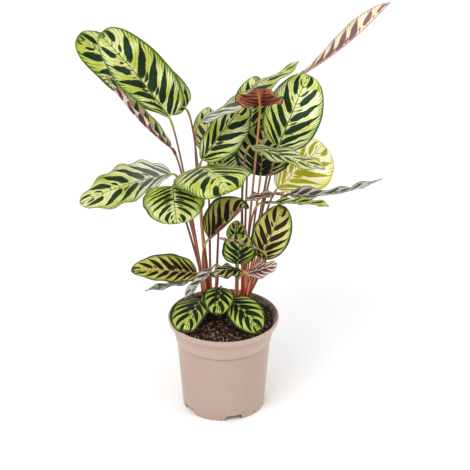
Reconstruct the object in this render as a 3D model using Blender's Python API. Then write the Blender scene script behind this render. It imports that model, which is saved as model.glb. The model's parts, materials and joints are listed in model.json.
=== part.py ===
"""Potted calathea: a grower's plastic pot, peat, two crowns of leaf stalks and 37 leaf blades.

Metres, +Z up. The origin is on the surface that the pot stands on, below the middle of the
whole plant's outline. Sizes and places are measured from the pot's own axis, and an empty
then carries the plant to its place. Most blades show their upper side towards -Y.
"""
import math

import bmesh
import bpy
import numpy as np
from mathutils import Vector

# Where the pot's axis stands
PLANT_PLACE = (-0.009, -0.044, 0.0)

# Pot: a thin moulded plastic pot of 14 cm
POT_RIM_RADIUS = 0.070
POT_FOOT_RADIUS = 0.052
POT_HEIGHT = 0.125
POT_WALL = 0.0013
RIM_LIP_HEIGHT = 0.0090
RIM_LIP_REACH = 0.0062
COLLAR_HEIGHT = 0.031
COLLAR_STEP = 0.0014
BODY_TOP_RADIUS = 0.0590
FOOT_ROUNDING = 0.0010
FLOOR_RAISE = 0.0078
POT_SIDES = 50

# Five notches in the foot ring and five drain holes beside them
NOTCH_COUNT = 5
NOTCH_FIRST_AZIMUTH = math.radians(-75.0)
NOTCH_WIDTH = 0.0210
NOTCH_HEIGHT = 0.0070
NOTCH_DEPTH = 0.012
DRAIN_RADIUS = 0.0048
DRAIN_RING_RADIUS = 0.036
DRAIN_SIDES = 12

# Peat, filled to a few millimetres below the rim
SOIL_LEVEL = 0.119
SOIL_RADIUS = 0.0620
SOIL_MOUND = 0.0035
SOIL_LUMP = 0.0007
SOIL_HEAP = 0.065
SOIL_RINGS = 5
SOIL_SIDES = 32

# Stalks: each crown is a sheathed stub in its own plain hole in the peat
CROWNS = {"left": (-0.016, 0.032), "right": (0.019, 0.027)}
CROWN_RADIUS = 0.0135
CROWN_DEPTH = 0.016
CROWN_SIDES = 16
CROWN_SPREAD = 0.0115
STALK_FOOT_RADIUS = 0.0019
STALK_TOP_RADIUS = 0.0012
STALK_SIDES = 5
STALK_STEPS = 8
STALK_SINK = 0.006
STALK_RISE = 0.55
STALK_ARRIVAL = 0.06
STALK_FAN = 0.6

# Blades
BLADE_THICKNESS = 0.0008
NECK_HALF_WIDTH = 0.0013
TIP_HALF_WIDTH = 0.0005
LARGE_BLADE = 0.075
ROWS_LARGE, COLUMNS_LARGE = 10, 6
ROWS_SMALL, COLUMNS_SMALL = 9, 4
NECK_FADE = 0.14
TIP_FADE = 0.08
CURL_POWER = 1.7
WAVE_HALVES_APART = 0.27
SPINE_STEPS = 120
SECTION_STEPS = 24

# The camera that fits the pot's rim and foot in the photo, which is 470 pixels square
CAMERA_AIM = (0.0145, 0.0, 0.238)
CAMERA_DISTANCE = 2.4
CAMERA_DOWN = math.radians(27.0)
FOCAL_PIXELS = 1944.0
PHOTO_MIDDLE = 235.0

# Touching pieces stay this far apart
GAP = 0.0003

GREEN = (0.34, 0.46, 0.10)
YELLOW_GREEN = (0.58, 0.60, 0.10)
UNDERSIDE = (0.42, 0.24, 0.19)
MAROON = (0.20, 0.05, 0.03)
STALK_COLOUR = (0.36, 0.11, 0.05)
PEAT_COLOUR = (0.045, 0.028, 0.018)
POT_COLOUR = (0.52, 0.40, 0.33)


def seen_at(column, row, depth):
    """The place that the photo shows at a pixel, at a depth in metres behind the pot's axis."""
    down_cosine, down_sine = math.cos(CAMERA_DOWN), math.sin(CAMERA_DOWN)
    ahead = np.array([0.0, down_cosine, -down_sine])
    above = np.array([0.0, down_sine, down_cosine])
    aside = np.array([1.0, 0.0, 0.0])
    eye = np.array(CAMERA_AIM) - ahead * CAMERA_DISTANCE
    ray = ahead + (aside * (column - PHOTO_MIDDLE) - above * (row - PHOTO_MIDDLE)) / FOCAL_PIXELS
    return eye + ray * (depth - eye[1]) / ray[1]


def leaf(name, crown, neck, tip, face, width, uneven=0.0, blunt=(0.56, 0.56),
         broadest=(0.47, 0.47), arch=0.0, sway=0.0, fold=(8, 8), curl=(0, 0), twist=0,
         roll=(0, 0.5, 1.0), wave=(0.002, 3, 0.0), colour=GREEN):
    """One blade's form, where a pair of values is for the left and the right half.

    neck and tip are the ends of the midrib's chord, each as the column and the row of the
    photo's pixel and its estimated depth. face is where the upper side looks. width is the
    full width, of which uneven gives a share more to the right half and less to the left.
    A low blunt makes the ends rounder, and broadest is the share of the length where a half
    is widest. arch lifts the midrib's middle and sway pushes it to the right. fold and curl
    raise a half in degrees, at the midrib and towards the margin. twist turns the blade along
    its length. roll bends it down by an angle between two shares of its length. wave is the
    height, the number and the start of the waves along the margin.
    """
    return {
        "name": name, "crown": crown, "neck": seen_at(*neck), "tip": seen_at(*tip),
        "face": np.array(face, float), "width": width, "uneven": uneven, "blunt": blunt,
        "broadest": broadest, "arch": arch, "sway": sway, "fold": fold, "curl": curl,
        "twist": twist, "roll": roll, "wave": wave, "colour": colour,
    }


LEAVES = [
    leaf("leaf_high_left_front", "left", (169.3, 117.8, 0.030), (99.5, 34, 0.005),
         face=(-0.12, -0.75, 0.6), width=0.067, uneven=0.12, blunt=(0.6, 0.32), broadest=(0.6, 0.36),
         sway=0.003, fold=(36, 0), curl=(-16, -6), wave=(0.0016, 3.2, 0.1)),
    leaf("leaf_high_left_back", "left", (185.5, 108.5, 0.088), (77, 37, 0.082),
         face=(0, -0.8, 0.6), width=0.064, uneven=-0.06, blunt=(0.42, 0.34), broadest=(0.5, 0.38),
         arch=0.004, sway=0.001, fold=(8, 8), wave=(0.002, 3, 0.3)),
    leaf("leaf_high_left_folded", "left", (171, 147.5, 0.046), (106, 76, 0.030),
         face=(0.63, 0.12, 0.74), width=0.031, blunt=(0.5, 0.5), arch=-0.006, fold=(36, 62),
         wave=(0.002, 3, 0.2), colour=UNDERSIDE),
    leaf("leaf_left_wavy", "left", (172, 174, 0.019), (79.5, 203.5, -0.022),
         face=(0.1, -0.5, 0.85), width=0.064, uneven=0.1, blunt=(0.64, 0.6), broadest=(0.6, 0.38),
         arch=0.009, fold=(2, 0), curl=(20, -32), wave=(0.0022, 4, 0.1)),
    leaf("leaf_centre_broad", "left", (200, 166.5, 0.006), (226.5, 183, -0.072),
         face=(-0.1, -0.24, 0.96), width=0.098, blunt=(0.3, 0.3), broadest=(0.5, 0.5), arch=0.002,
         fold=(-10, 4), curl=(-16, -12), roll=(80, 0.62, 1), wave=(0.0008, 2.5, 0.6)),
    leaf("leaf_left_drooping", "left", (173, 186, -0.022), (177, 224, -0.060),
         face=(-0.12, -0.45, 0.85), width=0.076, blunt=(0.36, 0.44), arch=0.007, fold=(4, 14),
         wave=(0.0025, 4, 0.4)),
    leaf("leaf_centre_upright", "left", (202, 160, 0.026), (245.5, 104, 0.066),
         face=(-0.1, -0.65, 0.75), width=0.052, uneven=0.22, arch=0.004, fold=(50, 6),
         wave=(0.002, 3, 0.4)),
    leaf("leaf_centre_pale", "left", (208, 153, 0.088), (208, 107, 0.106),
         face=(-0.2, -0.8, 0.5), width=0.038, arch=0.002, wave=(0.002, 3, 0.2)),
    leaf("leaf_top_reaching", "left", (200, 121.5, 0.016), (299, 61, 0.044),
         face=(-0.45, 0.08, 0.9), width=0.054, uneven=0.2, blunt=(0.66, 0.66), arch=0.001,
         fold=(-8, -8), wave=(0.002, 3.5, 0.3)),
    leaf("leaf_top_rear", "right", (249, 134, 0.078), (256.5, 76, 0.096),
         face=(-0.1, -0.7, 0.6), width=0.048, arch=0.004, wave=(0.002, 3, 0.2)),
    leaf("leaf_top_maroon", "right", (260, 105.5, 0.002), (257.5, 88.5, -0.050),
         face=(0, 0.64, 0.77), width=0.060, arch=0.004, fold=(-14, -14), wave=(0.003, 2.5, 0.2),
         colour=MAROON),
    leaf("leaf_high_right", "right", (278.5, 146, 0.014), (308, 74.5, 0.044),
         face=(0.05, -0.75, 0.6), width=0.070, uneven=0.06, blunt=(0.46, 0.38), broadest=(0.43, 0.43),
         arch=0.005, fold=(8, 8), wave=(0.0015, 2.5, 0.1)),
    leaf("leaf_top_right_folded", "right", (293, 79, 0.074), (390, 1.5, 0.046),
         face=(-0.5, 0.6, 0.6), width=0.034, blunt=(0.8, 0.8), broadest=(0.64, 0.64), arch=-0.008,
         fold=(76, 76), wave=(0.003, 5, 0.1), colour=UNDERSIDE),
    leaf("leaf_centre_shaded", "right", (260.5, 176, 0.034), (266, 122, 0.064),
         face=(0, -0.6, 0.75), width=0.072, blunt=(0.48, 0.48), broadest=(0.42, 0.42), arch=0.006,
         fold=(-8, -8), wave=(0.002, 3, 0.2)),
    leaf("leaf_right_edge_on", "right", (252, 146, -0.003), (325, 169, -0.040),
         face=(-0.1, 0.16, 0.95), width=0.054, fold=(0, 4), wave=(0.0025, 2.5, 0.5)),
    leaf("leaf_right_yellow", "right", (277.6, 188.5, 0.036), (323.5, 144, 0.076),
         face=(0.35, -0.7, 0.6), width=0.067, uneven=0.2, blunt=(0.42, 0.42), broadest=(0.5, 0.6),
         arch=0.005, fold=(12, -4), wave=(0.002, 3, 0.2), colour=YELLOW_GREEN),
    leaf("leaf_far_right_twisted", "right", (290, 194.5, 0.004), (382, 178.5, 0.010),
         face=(0.1, 0.3, 0.95), width=0.034, broadest=(0.36, 0.36), arch=-0.008, fold=(12, 12),
         twist=60, wave=(0.003, 2.5, 0.1)),
    leaf("leaf_centre_folded", "left", (209, 239, -0.036), (247, 203, -0.024),
         face=(-0.3, -0.6, 0.75), width=0.068, uneven=-0.05, blunt=(0.5, 0.5), arch=-0.003,
         fold=(4, 64), wave=(0.002, 2, 0.3)),
    leaf("leaf_low_right", "right", (261, 258.5, -0.021), (283.5, 205.5, -0.006),
         face=(0.05, -0.85, 0.5), width=0.048, blunt=(0.5, 0.5), arch=0.004, fold=(8, 8),
         wave=(0.0015, 3, 0.3)),
    leaf("leaf_low_centre_small", "right", (236.5, 243, 0.001), (236.5, 220.5, 0.006),
         face=(0, -0.8, 0.6), width=0.026, fold=(12, 12), wave=(0.001, 2, 0.3)),
    leaf("leaf_low_centre", "right", (238, 264, -0.024), (240.5, 232, -0.015),
         face=(0, -0.7, 0.7), width=0.044, arch=0.003, fold=(20, 20), wave=(0.002, 3, 0)),
    leaf("leaf_low_left", "left", (197, 273, 0.010), (131, 270.5, -0.014),
         face=(0.05, -0.65, 0.75), width=0.038, uneven=0.15, blunt=(0.52, 0.52), broadest=(0.42, 0.42),
         arch=0.005, fold=(6, 6), wave=(0.0015, 3.5, 0.6)),
    leaf("leaf_low_left_narrow", "left", (196, 279, 0.024), (145, 290.5, -0.008),
         face=(0, 0.15, 0.98), width=0.020, fold=(6, 6), wave=(0.0015, 2.5, 0.2)),
    leaf("leaf_low_dark", "right", (243, 271, -0.032), (211, 276, -0.047),
         face=(0, 0.05, 0.98), width=0.039, arch=0.006, fold=(-6, -6), wave=(0.002, 3, 0)),
    leaf("leaf_low_right_pink", "right", (247, 272, -0.030), (277, 264, -0.022),
         face=(-0.1, 0.8, 0.45), width=0.036, fold=(-8, -8), wave=(0.0015, 2, 0.2), colour=UNDERSIDE),
    leaf("leaf_soil_left", "left", (202.5, 299, 0.010), (184.5, 333, -0.048),
         face=(-0.3, -0.45, 0.8), width=0.050, uneven=0.12, blunt=(0.4, 0.4), arch=0.007, fold=(4, 4),
         wave=(0.001, 2, 0.2)),
    leaf("leaf_soil_middle", "left", (221, 287.5, 0.000), (216.5, 315.5, -0.034),
         face=(0, -0.55, 0.8), width=0.040, arch=0.006, wave=(0.001, 2, 0.2)),
    leaf("leaf_soil_right", "right", (231, 299.5, -0.009), (260, 333, -0.044),
         face=(0.1, -0.55, 0.8), width=0.046, arch=0.006, fold=(8, 8), wave=(0.001, 2, 0.2)),
    leaf("leaf_right_narrow", "right", (262, 203, -0.022), (329, 206, -0.034),
         face=(0.1, 0.2, 0.98), width=0.030, broadest=(0.6, 0.6), arch=0.002, fold=(14, 14),
         wave=(0.002, 3.5, 0.4)),
    leaf("leaf_centre_pink", "right", (280, 193, -0.002), (247, 201, -0.040),
         face=(0, -0.3, -0.95), width=0.032, fold=(-10, -10), wave=(0.0025, 3, 0.4), colour=UNDERSIDE),
    leaf("leaf_low_centre_narrow", "right", (262, 251, -0.035), (217, 238.5, -0.048),
         face=(0, -0.15, -0.95), width=0.016, fold=(-20, -20), wave=(0.001, 3, 0.4), colour=UNDERSIDE),
    leaf("leaf_low_left_silver", "left", (213, 267, -0.018), (185, 298, -0.050),
         face=(-0.6, -0.25, 0.75), width=0.020, fold=(20, 20), wave=(0.0015, 2, 0.4)),
    leaf("leaf_rear_left", "left", (222, 172, 0.084), (232, 140, 0.150),
         face=(0, 0.3, 0.95), width=0.058, arch=0.008, wave=(0.002, 3, 0.4)),
    leaf("leaf_rear_right", "right", (288, 180, 0.070), (300, 152, 0.150),
         face=(0.1, 0.3, 0.95), width=0.062, arch=0.008, wave=(0.002, 3, 0.4)),
    leaf("leaf_rear_centre", "right", (243, 176, 0.084), (256, 148, 0.165),
         face=(0, 0.3, 0.95), width=0.058, arch=0.010, wave=(0.002, 3, 0.4)),
    leaf("leaf_rear_low_right", "right", (268, 248, 0.062), (279, 222, 0.128),
         face=(0.1, 0.3, 0.95), width=0.040, arch=0.006, wave=(0.002, 3, 0.4)),
    leaf("leaf_rear_low_left", "left", (186, 212, 0.072), (166, 194, 0.130),
         face=(-0.1, 0.3, 0.95), width=0.050, arch=0.006, wave=(0.002, 3, 0.4)),
]


def smooth(share):
    """0 below 0, 1 above 1, and an even ease between them."""
    share = np.clip(share, 0.0, 1.0)
    return share * share * (3.0 - 2.0 * share)


def unit(vector):
    return vector / np.linalg.norm(vector, axis=-1, keepdims=True)


def turn(first, second, angle):
    """Two square directions turned in their plane, from the first towards the second."""
    cosine = np.cos(angle)[:, None]
    sine = np.sin(angle)[:, None]
    return first * cosine + second * sine, second * cosine - first * sine


def half_width(form, s, side):
    """The left (-1) or right (1) half's width at the shares s of the length: a rounded oval."""
    half = 0 if side < 0 else 1
    skewed = np.clip(s, 0.0, 1.0) ** (math.log(0.5) / math.log(form["broadest"][half]))
    oval = np.sin(np.pi * skewed) ** form["blunt"][half]
    widest = 0.5 * form["width"] * (1.0 + side * form["uneven"])
    return np.maximum(widest * oval, NECK_HALF_WIDTH * (1.0 - s) + TIP_HALF_WIDTH * s)


def midrib(form):
    """Places, tangents, upper normals and right-hand directions along the midrib."""
    s = np.linspace(0.0, 1.0, SPINE_STEPS + 1)
    chord = form["tip"] - form["neck"]
    length = np.linalg.norm(chord)
    forward = chord / length
    upward = unit(form["face"] - np.dot(form["face"], forward) * forward)
    rightward = np.cross(forward, upward)
    slope = 4.0 - 8.0 * s
    run = length * forward + np.outer(form["arch"] * slope, upward)
    run = run + np.outer(form["sway"] * slope, rightward)
    step = np.linalg.norm(run, axis=1, keepdims=True)
    tangent = run / step
    normal = unit(upward - (tangent @ upward)[:, None] * tangent)
    angle, start, stop = form["roll"]
    bend = np.radians(angle) * smooth((s - start) / (stop - start))
    normal, tangent = turn(normal, tangent, bend)
    right = np.cross(tangent, normal)
    right, normal = turn(right, normal, np.radians(form["twist"]) * (s - 0.5))
    travel = 0.5 * (tangent[1:] * step[1:] + tangent[:-1] * step[:-1]) / SPINE_STEPS
    places = form["neck"] + np.concatenate([np.zeros((1, 3)), np.cumsum(travel, axis=0)])
    return places, tangent, normal, right


def at_shares(values, s):
    """Values kept at even shares of the length, read at the shares s."""
    grid = np.linspace(0.0, 1.0, SPINE_STEPS + 1)
    return np.stack([np.interp(s, grid, values[:, axis]) for axis in range(3)], axis=-1)


def half_section(t, fold, curl):
    """Sideways run, rise and slope of half a cross-section of unit width, at the shares t."""
    grid = np.linspace(0.0, 1.0, SECTION_STEPS + 1)
    slopes = fold[:, None] + curl[:, None] * grid ** CURL_POWER
    runs = []
    for part in (np.cos(slopes), np.sin(slopes)):
        middle = 0.5 * (part[:, 1:] + part[:, :-1]) / SECTION_STEPS
        total = np.concatenate([np.zeros((len(fold), 1)), np.cumsum(middle, axis=1)], axis=1)
        runs.append(np.stack([np.interp(t, grid, row) for row in total]))
    return runs[0], runs[1], fold[:, None] + curl[:, None] * t ** CURL_POWER


def blade_points(form, s, v):
    """Points of the upper side, at shares s of the length and v from -1, left, to 1, right."""
    places, _, normal, right = (at_shares(values, s) for values in midrib(form))
    tip_fade = smooth((1.0 - s) / TIP_FADE)
    fade = smooth(s / NECK_FADE) * tip_fade
    height, count, start = form["wave"]
    points = np.zeros((len(s), len(v), 3))
    for index, side in enumerate((-1, 1)):
        columns = np.where(v * side >= 0.0)[0]
        t = np.abs(v[columns])
        half = half_width(form, s, side)[:, None]
        fold = np.radians(form["fold"][index]) * tip_fade
        curl = np.radians(form["curl"][index]) * fade
        across, rise, slope = half_section(t, fold, curl)
        phase = 2.0 * np.pi * (count * s + start + WAVE_HALVES_APART * side)
        ripple = height * np.outer(np.sin(phase) * fade, t ** 2)
        across = across * half - ripple * np.sin(slope)
        rise = rise * half + ripple * np.cos(slope)
        offset = side * across[..., None] * right[:, None] + rise[..., None] * normal[:, None]
        points[:, columns] = places[:, None] + offset
    return points


def stalk_path(form, shift):
    """Centre line of a stalk, from its crown to just short of the blade's neck."""
    crown_x, crown_y = CROWNS[form["crown"]]
    neck = form["neck"]
    reach = np.array([neck[0] - crown_x, neck[1] - crown_y])
    reach = reach / (np.linalg.norm(reach) + 0.03)
    cosine, sine = math.cos(shift), math.sin(shift)
    lean = np.array([reach[0] * cosine - reach[1] * sine, reach[0] * sine + reach[1] * cosine])
    foot = np.array([crown_x + CROWN_SPREAD * lean[0], crown_y + CROWN_SPREAD * lean[1],
                     SOIL_LEVEL - STALK_SINK])
    tangent = midrib(form)[1][0]
    end = neck - tangent * 1.5 * GAP
    span = np.linalg.norm(end - foot)
    rise = unit(end - foot + np.array([0.0, 0.0, STALK_RISE * span])) * span * 0.9
    arrive = tangent * min(0.6 * span, STALK_ARRIVAL)
    t = np.linspace(0.0, 1.0, STALK_STEPS + 1)[:, None]
    return ((2 * t ** 3 - 3 * t ** 2 + 1) * foot + (t ** 3 - 2 * t ** 2 + t) * rise
            + (3 * t ** 2 - 2 * t ** 3) * end + (t ** 3 - t ** 2) * arrive)


def add_object(name, bm):
    """A new object at the origin that holds the finished mesh."""
    mesh = bpy.data.meshes.new(name)
    bm.to_mesh(mesh)
    bm.free()
    obj = bpy.data.objects.new(name, mesh)
    bpy.context.scene.collection.objects.link(obj)
    return obj


def finish(obj, colour, roughness, round_shape=True):
    """The object's own plain material and its shading."""
    material = bpy.data.materials.new(obj.name + "_finish")
    material.use_nodes = True
    shader = material.node_tree.nodes["Principled BSDF"]
    shader.inputs["Base Color"].default_value = (*colour, 1.0)
    shader.inputs["Roughness"].default_value = roughness
    shader.inputs["Metallic"].default_value = 0.0
    obj.data.materials.clear()
    obj.data.materials.append(material)
    if round_shape:
        obj.data.shade_smooth()
        obj.data.set_sharp_from_angle(angle=math.radians(40.0))


def bake_modifiers(obj):
    """The object's modifiers become part of its mesh."""
    graph = bpy.context.evaluated_depsgraph_get()
    mesh = bpy.data.meshes.new_from_object(obj.evaluated_get(graph))
    obj.modifiers.clear()
    obj.data = mesh


def boolean(obj, others, operation, solver="EXACT"):
    """Join the others to the object or cut them from it, and remove them."""
    group = bpy.data.collections.new(obj.name + "_others")
    for other in others:
        group.objects.link(other)
    modifier = obj.modifiers.new(operation.lower(), "BOOLEAN")
    modifier.operation = operation
    modifier.solver = solver
    modifier.operand_type = "COLLECTION"
    modifier.collection = group
    bake_modifiers(obj)
    for other in others:
        bpy.data.objects.remove(other)
    bpy.data.collections.remove(group)


def keep_outer_shell(obj):
    """Only the largest connected surface stays, which fills any pocket sealed inside it."""
    bm = bmesh.new()
    bm.from_mesh(obj.data)
    shells = []
    unseen = set(bm.verts)
    while unseen:
        first = unseen.pop()
        shell, border = [first], [first]
        while border:
            vert = border.pop()
            for edge in vert.link_edges:
                other = edge.other_vert(vert)
                if other in unseen:
                    unseen.remove(other)
                    shell.append(other)
                    border.append(other)
        shells.append(shell)
    shells.sort(key=len)
    inner = [vert for shell in shells[:-1] for vert in shell]
    bmesh.ops.delete(bm, geom=inner, context="VERTS")
    bm.to_mesh(obj.data)
    bm.free()


def ring(bm, radius, z, sides, centre=(0.0, 0.0)):
    """A closed ring of vertices round a vertical axis."""
    verts = []
    for index in range(sides):
        angle = 2.0 * math.pi * index / sides
        place = (centre[0] + radius * math.cos(angle), centre[1] + radius * math.sin(angle), z)
        verts.append(bm.verts.new(place))
    return verts


def bridge(bm, lower, upper):
    """A band of quads between two rings of as many vertices."""
    for index in range(len(lower)):
        after = (index + 1) % len(lower)
        bm.faces.new((lower[index], lower[after], upper[after], upper[index]))


def turned(bm, profile, sides, centre=(0.0, 0.0)):
    """A closed body turned from a profile of (radius, z) that starts and ends as a flat cap."""
    rings = [ring(bm, radius, z, sides, centre) for radius, z in profile]
    for lower, upper in zip(rings, rings[1:]):
        bridge(bm, lower, upper)
    bm.faces.new(list(reversed(rings[0])))
    bm.faces.new(rings[-1])
    bmesh.ops.recalc_face_normals(bm, faces=bm.faces[:])


def collar_share(z):
    """0 at the collar's lower edge and below it, 1 where the rim begins to flare."""
    return max(0.0, z - POT_HEIGHT + COLLAR_HEIGHT) / (COLLAR_HEIGHT - RIM_LIP_HEIGHT)


def wall_radius(z):
    """Outer radius of the pot at a height: a tapered body and a wider collar."""
    share = collar_share(z)
    if share > 0.0:
        foot = BODY_TOP_RADIUS + COLLAR_STEP
        return foot + (POT_RIM_RADIUS - RIM_LIP_REACH - foot) * share
    rise = z / (POT_HEIGHT - COLLAR_HEIGHT)
    return POT_FOOT_RADIUS + (BODY_TOP_RADIUS - POT_FOOT_RADIUS) * rise


def inner_radius(z):
    """Inner radius of the pot at a height, which has no step behind the collar."""
    share = collar_share(z)
    step = COLLAR_STEP * (1.0 - share) if share > 0.0 else 0.0
    return wall_radius(z) - 1.5 * POT_WALL - step


def build_pot():
    lip_bottom = POT_HEIGHT - RIM_LIP_HEIGHT
    collar_bottom = POT_HEIGHT - COLLAR_HEIGHT
    inner_floor = FLOOR_RAISE + POT_WALL
    inner_foot = wall_radius(0.0) - 2.0 * POT_WALL
    profile = [
        (inner_foot - POT_WALL, FLOOR_RAISE),
        (inner_foot, FLOOR_RAISE - POT_WALL),
        (inner_foot, 0.0),
        (POT_FOOT_RADIUS - FOOT_ROUNDING, 0.0),
        (POT_FOOT_RADIUS - 0.3 * FOOT_ROUNDING, 0.3 * FOOT_ROUNDING),
        (wall_radius(FOOT_ROUNDING), FOOT_ROUNDING),
        (BODY_TOP_RADIUS, collar_bottom),
        (wall_radius(collar_bottom + COLLAR_STEP), collar_bottom + COLLAR_STEP),
        (wall_radius(lip_bottom), lip_bottom),
        (POT_RIM_RADIUS - 0.30 * RIM_LIP_REACH, lip_bottom + 0.12 * RIM_LIP_HEIGHT),
        (POT_RIM_RADIUS - 0.16 * RIM_LIP_REACH, lip_bottom + 0.22 * RIM_LIP_HEIGHT),
        (POT_RIM_RADIUS, lip_bottom + 0.72 * RIM_LIP_HEIGHT),
        (POT_RIM_RADIUS - 0.06 * RIM_LIP_REACH, lip_bottom + 0.90 * RIM_LIP_HEIGHT),
        (POT_RIM_RADIUS - 0.18 * RIM_LIP_REACH, POT_HEIGHT),
        (POT_RIM_RADIUS - 0.32 * RIM_LIP_REACH, POT_HEIGHT),
        (POT_RIM_RADIUS - 0.42 * RIM_LIP_REACH, POT_HEIGHT - 0.11 * RIM_LIP_HEIGHT),
        (POT_RIM_RADIUS - 0.55 * RIM_LIP_REACH, POT_HEIGHT - 0.38 * RIM_LIP_HEIGHT),
        (POT_RIM_RADIUS - 0.92 * RIM_LIP_REACH, POT_HEIGHT - 0.67 * RIM_LIP_HEIGHT),
        (inner_radius(lip_bottom), lip_bottom - 0.0005),
        (inner_radius(collar_bottom), collar_bottom),
        (inner_radius(inner_floor), inner_floor),
    ]
    bm = bmesh.new()
    turned(bm, profile, POT_SIDES)
    pot = add_object("pot", bm)
    boolean(pot, notch_cutters() + drain_cutters(), "DIFFERENCE")
    finish(pot, POT_COLOUR, 0.42)
    return pot


def notch_cutters():
    """Blocks that leave five notches through the foot ring."""
    cutters = []
    for index in range(NOTCH_COUNT):
        azimuth = NOTCH_FIRST_AZIMUTH + 2.0 * math.pi * index / NOTCH_COUNT
        outward = Vector((math.cos(azimuth), math.sin(azimuth), 0.0))
        bm = bmesh.new()
        bmesh.ops.create_cube(bm, size=1.0)
        bmesh.ops.scale(bm, vec=(NOTCH_DEPTH, NOTCH_WIDTH, 2.0 * NOTCH_HEIGHT), verts=bm.verts[:])
        bmesh.ops.rotate(bm, verts=bm.verts[:], cent=(0, 0, 0),
                         matrix=outward.to_track_quat("X", "Z").to_matrix())
        bmesh.ops.translate(bm, verts=bm.verts[:], vec=outward * (POT_FOOT_RADIUS - 0.001))
        cutters.append(add_object(f"notch_cutter_{index}", bm))
    return cutters


def drain_cutters():
    """Short rods that leave five drain holes through the floor."""
    cutters = []
    for index in range(NOTCH_COUNT):
        azimuth = NOTCH_FIRST_AZIMUTH + 2.0 * math.pi * index / NOTCH_COUNT
        centre = (DRAIN_RING_RADIUS * math.cos(azimuth), DRAIN_RING_RADIUS * math.sin(azimuth))
        bm = bmesh.new()
        turned(bm, [(DRAIN_RADIUS, 0.0), (DRAIN_RADIUS, 3.0 * FLOOR_RAISE)], DRAIN_SIDES, centre)
        cutters.append(add_object(f"drain_cutter_{index}", bm))
    return cutters


def soil_height(x, y):
    """Top of the peat: a low mound with shallow hollows, heaped up towards the back."""
    fall = math.hypot(x, y) / POT_FOOT_RADIUS
    lumps = math.sin(x * 190.0 + 0.6) * math.cos(y * 160.0 - 0.4) + math.sin(x * 83.0 - y * 118.0)
    heap = SOIL_HEAP * max(0.0, y)
    return SOIL_LEVEL + SOIL_MOUND * (0.6 - 0.7 * fall * fall) + SOIL_LUMP * lumps + heap


def build_soil():
    floor = FLOOR_RAISE + POT_WALL + GAP
    shoulder = POT_HEIGHT - COLLAR_HEIGHT
    flare = POT_HEIGHT - RIM_LIP_HEIGHT
    bm = bmesh.new()
    rings = [
        ring(bm, inner_radius(floor) - 3.0 * GAP, floor, SOIL_SIDES),
        ring(bm, inner_radius(shoulder) - 3.0 * GAP, shoulder, SOIL_SIDES),
        ring(bm, inner_radius(flare) - 3.0 * GAP, flare - 0.0015, SOIL_SIDES),
    ]
    for index in range(SOIL_RINGS):
        radius = SOIL_RADIUS * (1.0 - index / SOIL_RINGS)
        verts = ring(bm, radius, 0.0, SOIL_SIDES)
        for vert in verts:
            vert.co.z = soil_height(vert.co.x, vert.co.y)
        rings.append(verts)
    for lower, upper in zip(rings, rings[1:]):
        bridge(bm, lower, upper)
    bm.faces.new(list(reversed(rings[0])))
    centre = bm.verts.new((0.0, 0.0, soil_height(0.0, 0.0)))
    for index in range(SOIL_SIDES):
        bm.faces.new((rings[-1][index], rings[-1][(index + 1) % SOIL_SIDES], centre))
    bmesh.ops.recalc_face_normals(bm, faces=bm.faces[:])
    bmesh.ops.triangulate(bm, faces=bm.faces[:])
    soil = add_object("soil", bm)
    cutters = []
    for name, centre in CROWNS.items():
        bm = bmesh.new()
        bottom = SOIL_LEVEL - CROWN_DEPTH - GAP
        turned(bm, [(CROWN_RADIUS + GAP, bottom), (CROWN_RADIUS + GAP, SOIL_LEVEL + 0.02)],
               CROWN_SIDES, centre)
        cutters.append(add_object("crown_hole_" + name, bm))
    boolean(soil, cutters, "DIFFERENCE")
    finish(soil, PEAT_COLOUR, 0.95, round_shape=False)
    return soil


def build_stalk(form, shift):
    """One stalk: a slim tube that thins towards the blade."""
    path = stalk_path(form, shift)
    tangents = unit(np.gradient(path, axis=0))
    tangents[-1] = midrib(form)[1][0]
    side = unit(np.cross(tangents[0], (0.0, 1.0, 0.0)))
    bm = bmesh.new()
    rings = []
    for index, (place, tangent) in enumerate(zip(path, tangents)):
        side = unit(side - np.dot(side, tangent) * tangent)
        other = np.cross(tangent, side)
        share = index / STALK_STEPS
        radius = STALK_FOOT_RADIUS + (STALK_TOP_RADIUS - STALK_FOOT_RADIUS) * share
        verts = []
        for corner in range(STALK_SIDES):
            angle = 2.0 * math.pi * corner / STALK_SIDES
            offset = radius * (math.cos(angle) * side + math.sin(angle) * other)
            verts.append(bm.verts.new(place + offset))
        rings.append(verts)
    for lower, upper in zip(rings, rings[1:]):
        bridge(bm, lower, upper)
    bm.faces.new(list(reversed(rings[0])))
    bm.faces.new(rings[-1])
    bmesh.ops.recalc_face_normals(bm, faces=bm.faces[:])
    return add_object(form["name"] + "_stalk", bm)


def build_crown(name):
    """A crown's stub with all its stalks, joined in one body."""
    bottom = SOIL_LEVEL - CROWN_DEPTH
    profile = [
        (CROWN_RADIUS, bottom),
        (CROWN_RADIUS, SOIL_LEVEL - 0.002),
        (0.93 * CROWN_RADIUS, SOIL_LEVEL + 0.0015),
        (0.72 * CROWN_RADIUS, SOIL_LEVEL + 0.004),
    ]
    bm = bmesh.new()
    turned(bm, profile, CROWN_SIDES, CROWNS[name])
    crown = add_object("stalks_" + name, bm)
    stalks = []
    for index, form in enumerate(form for form in LEAVES if form["crown"] == name):
        shift = (index % 3 - 1) * STALK_FAN
        stalks.append(build_stalk(form, shift))
    boolean(crown, stalks, "UNION", "MANIFOLD")
    keep_outer_shell(crown)
    finish(crown, STALK_COLOUR, 0.5)
    return crown


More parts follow.
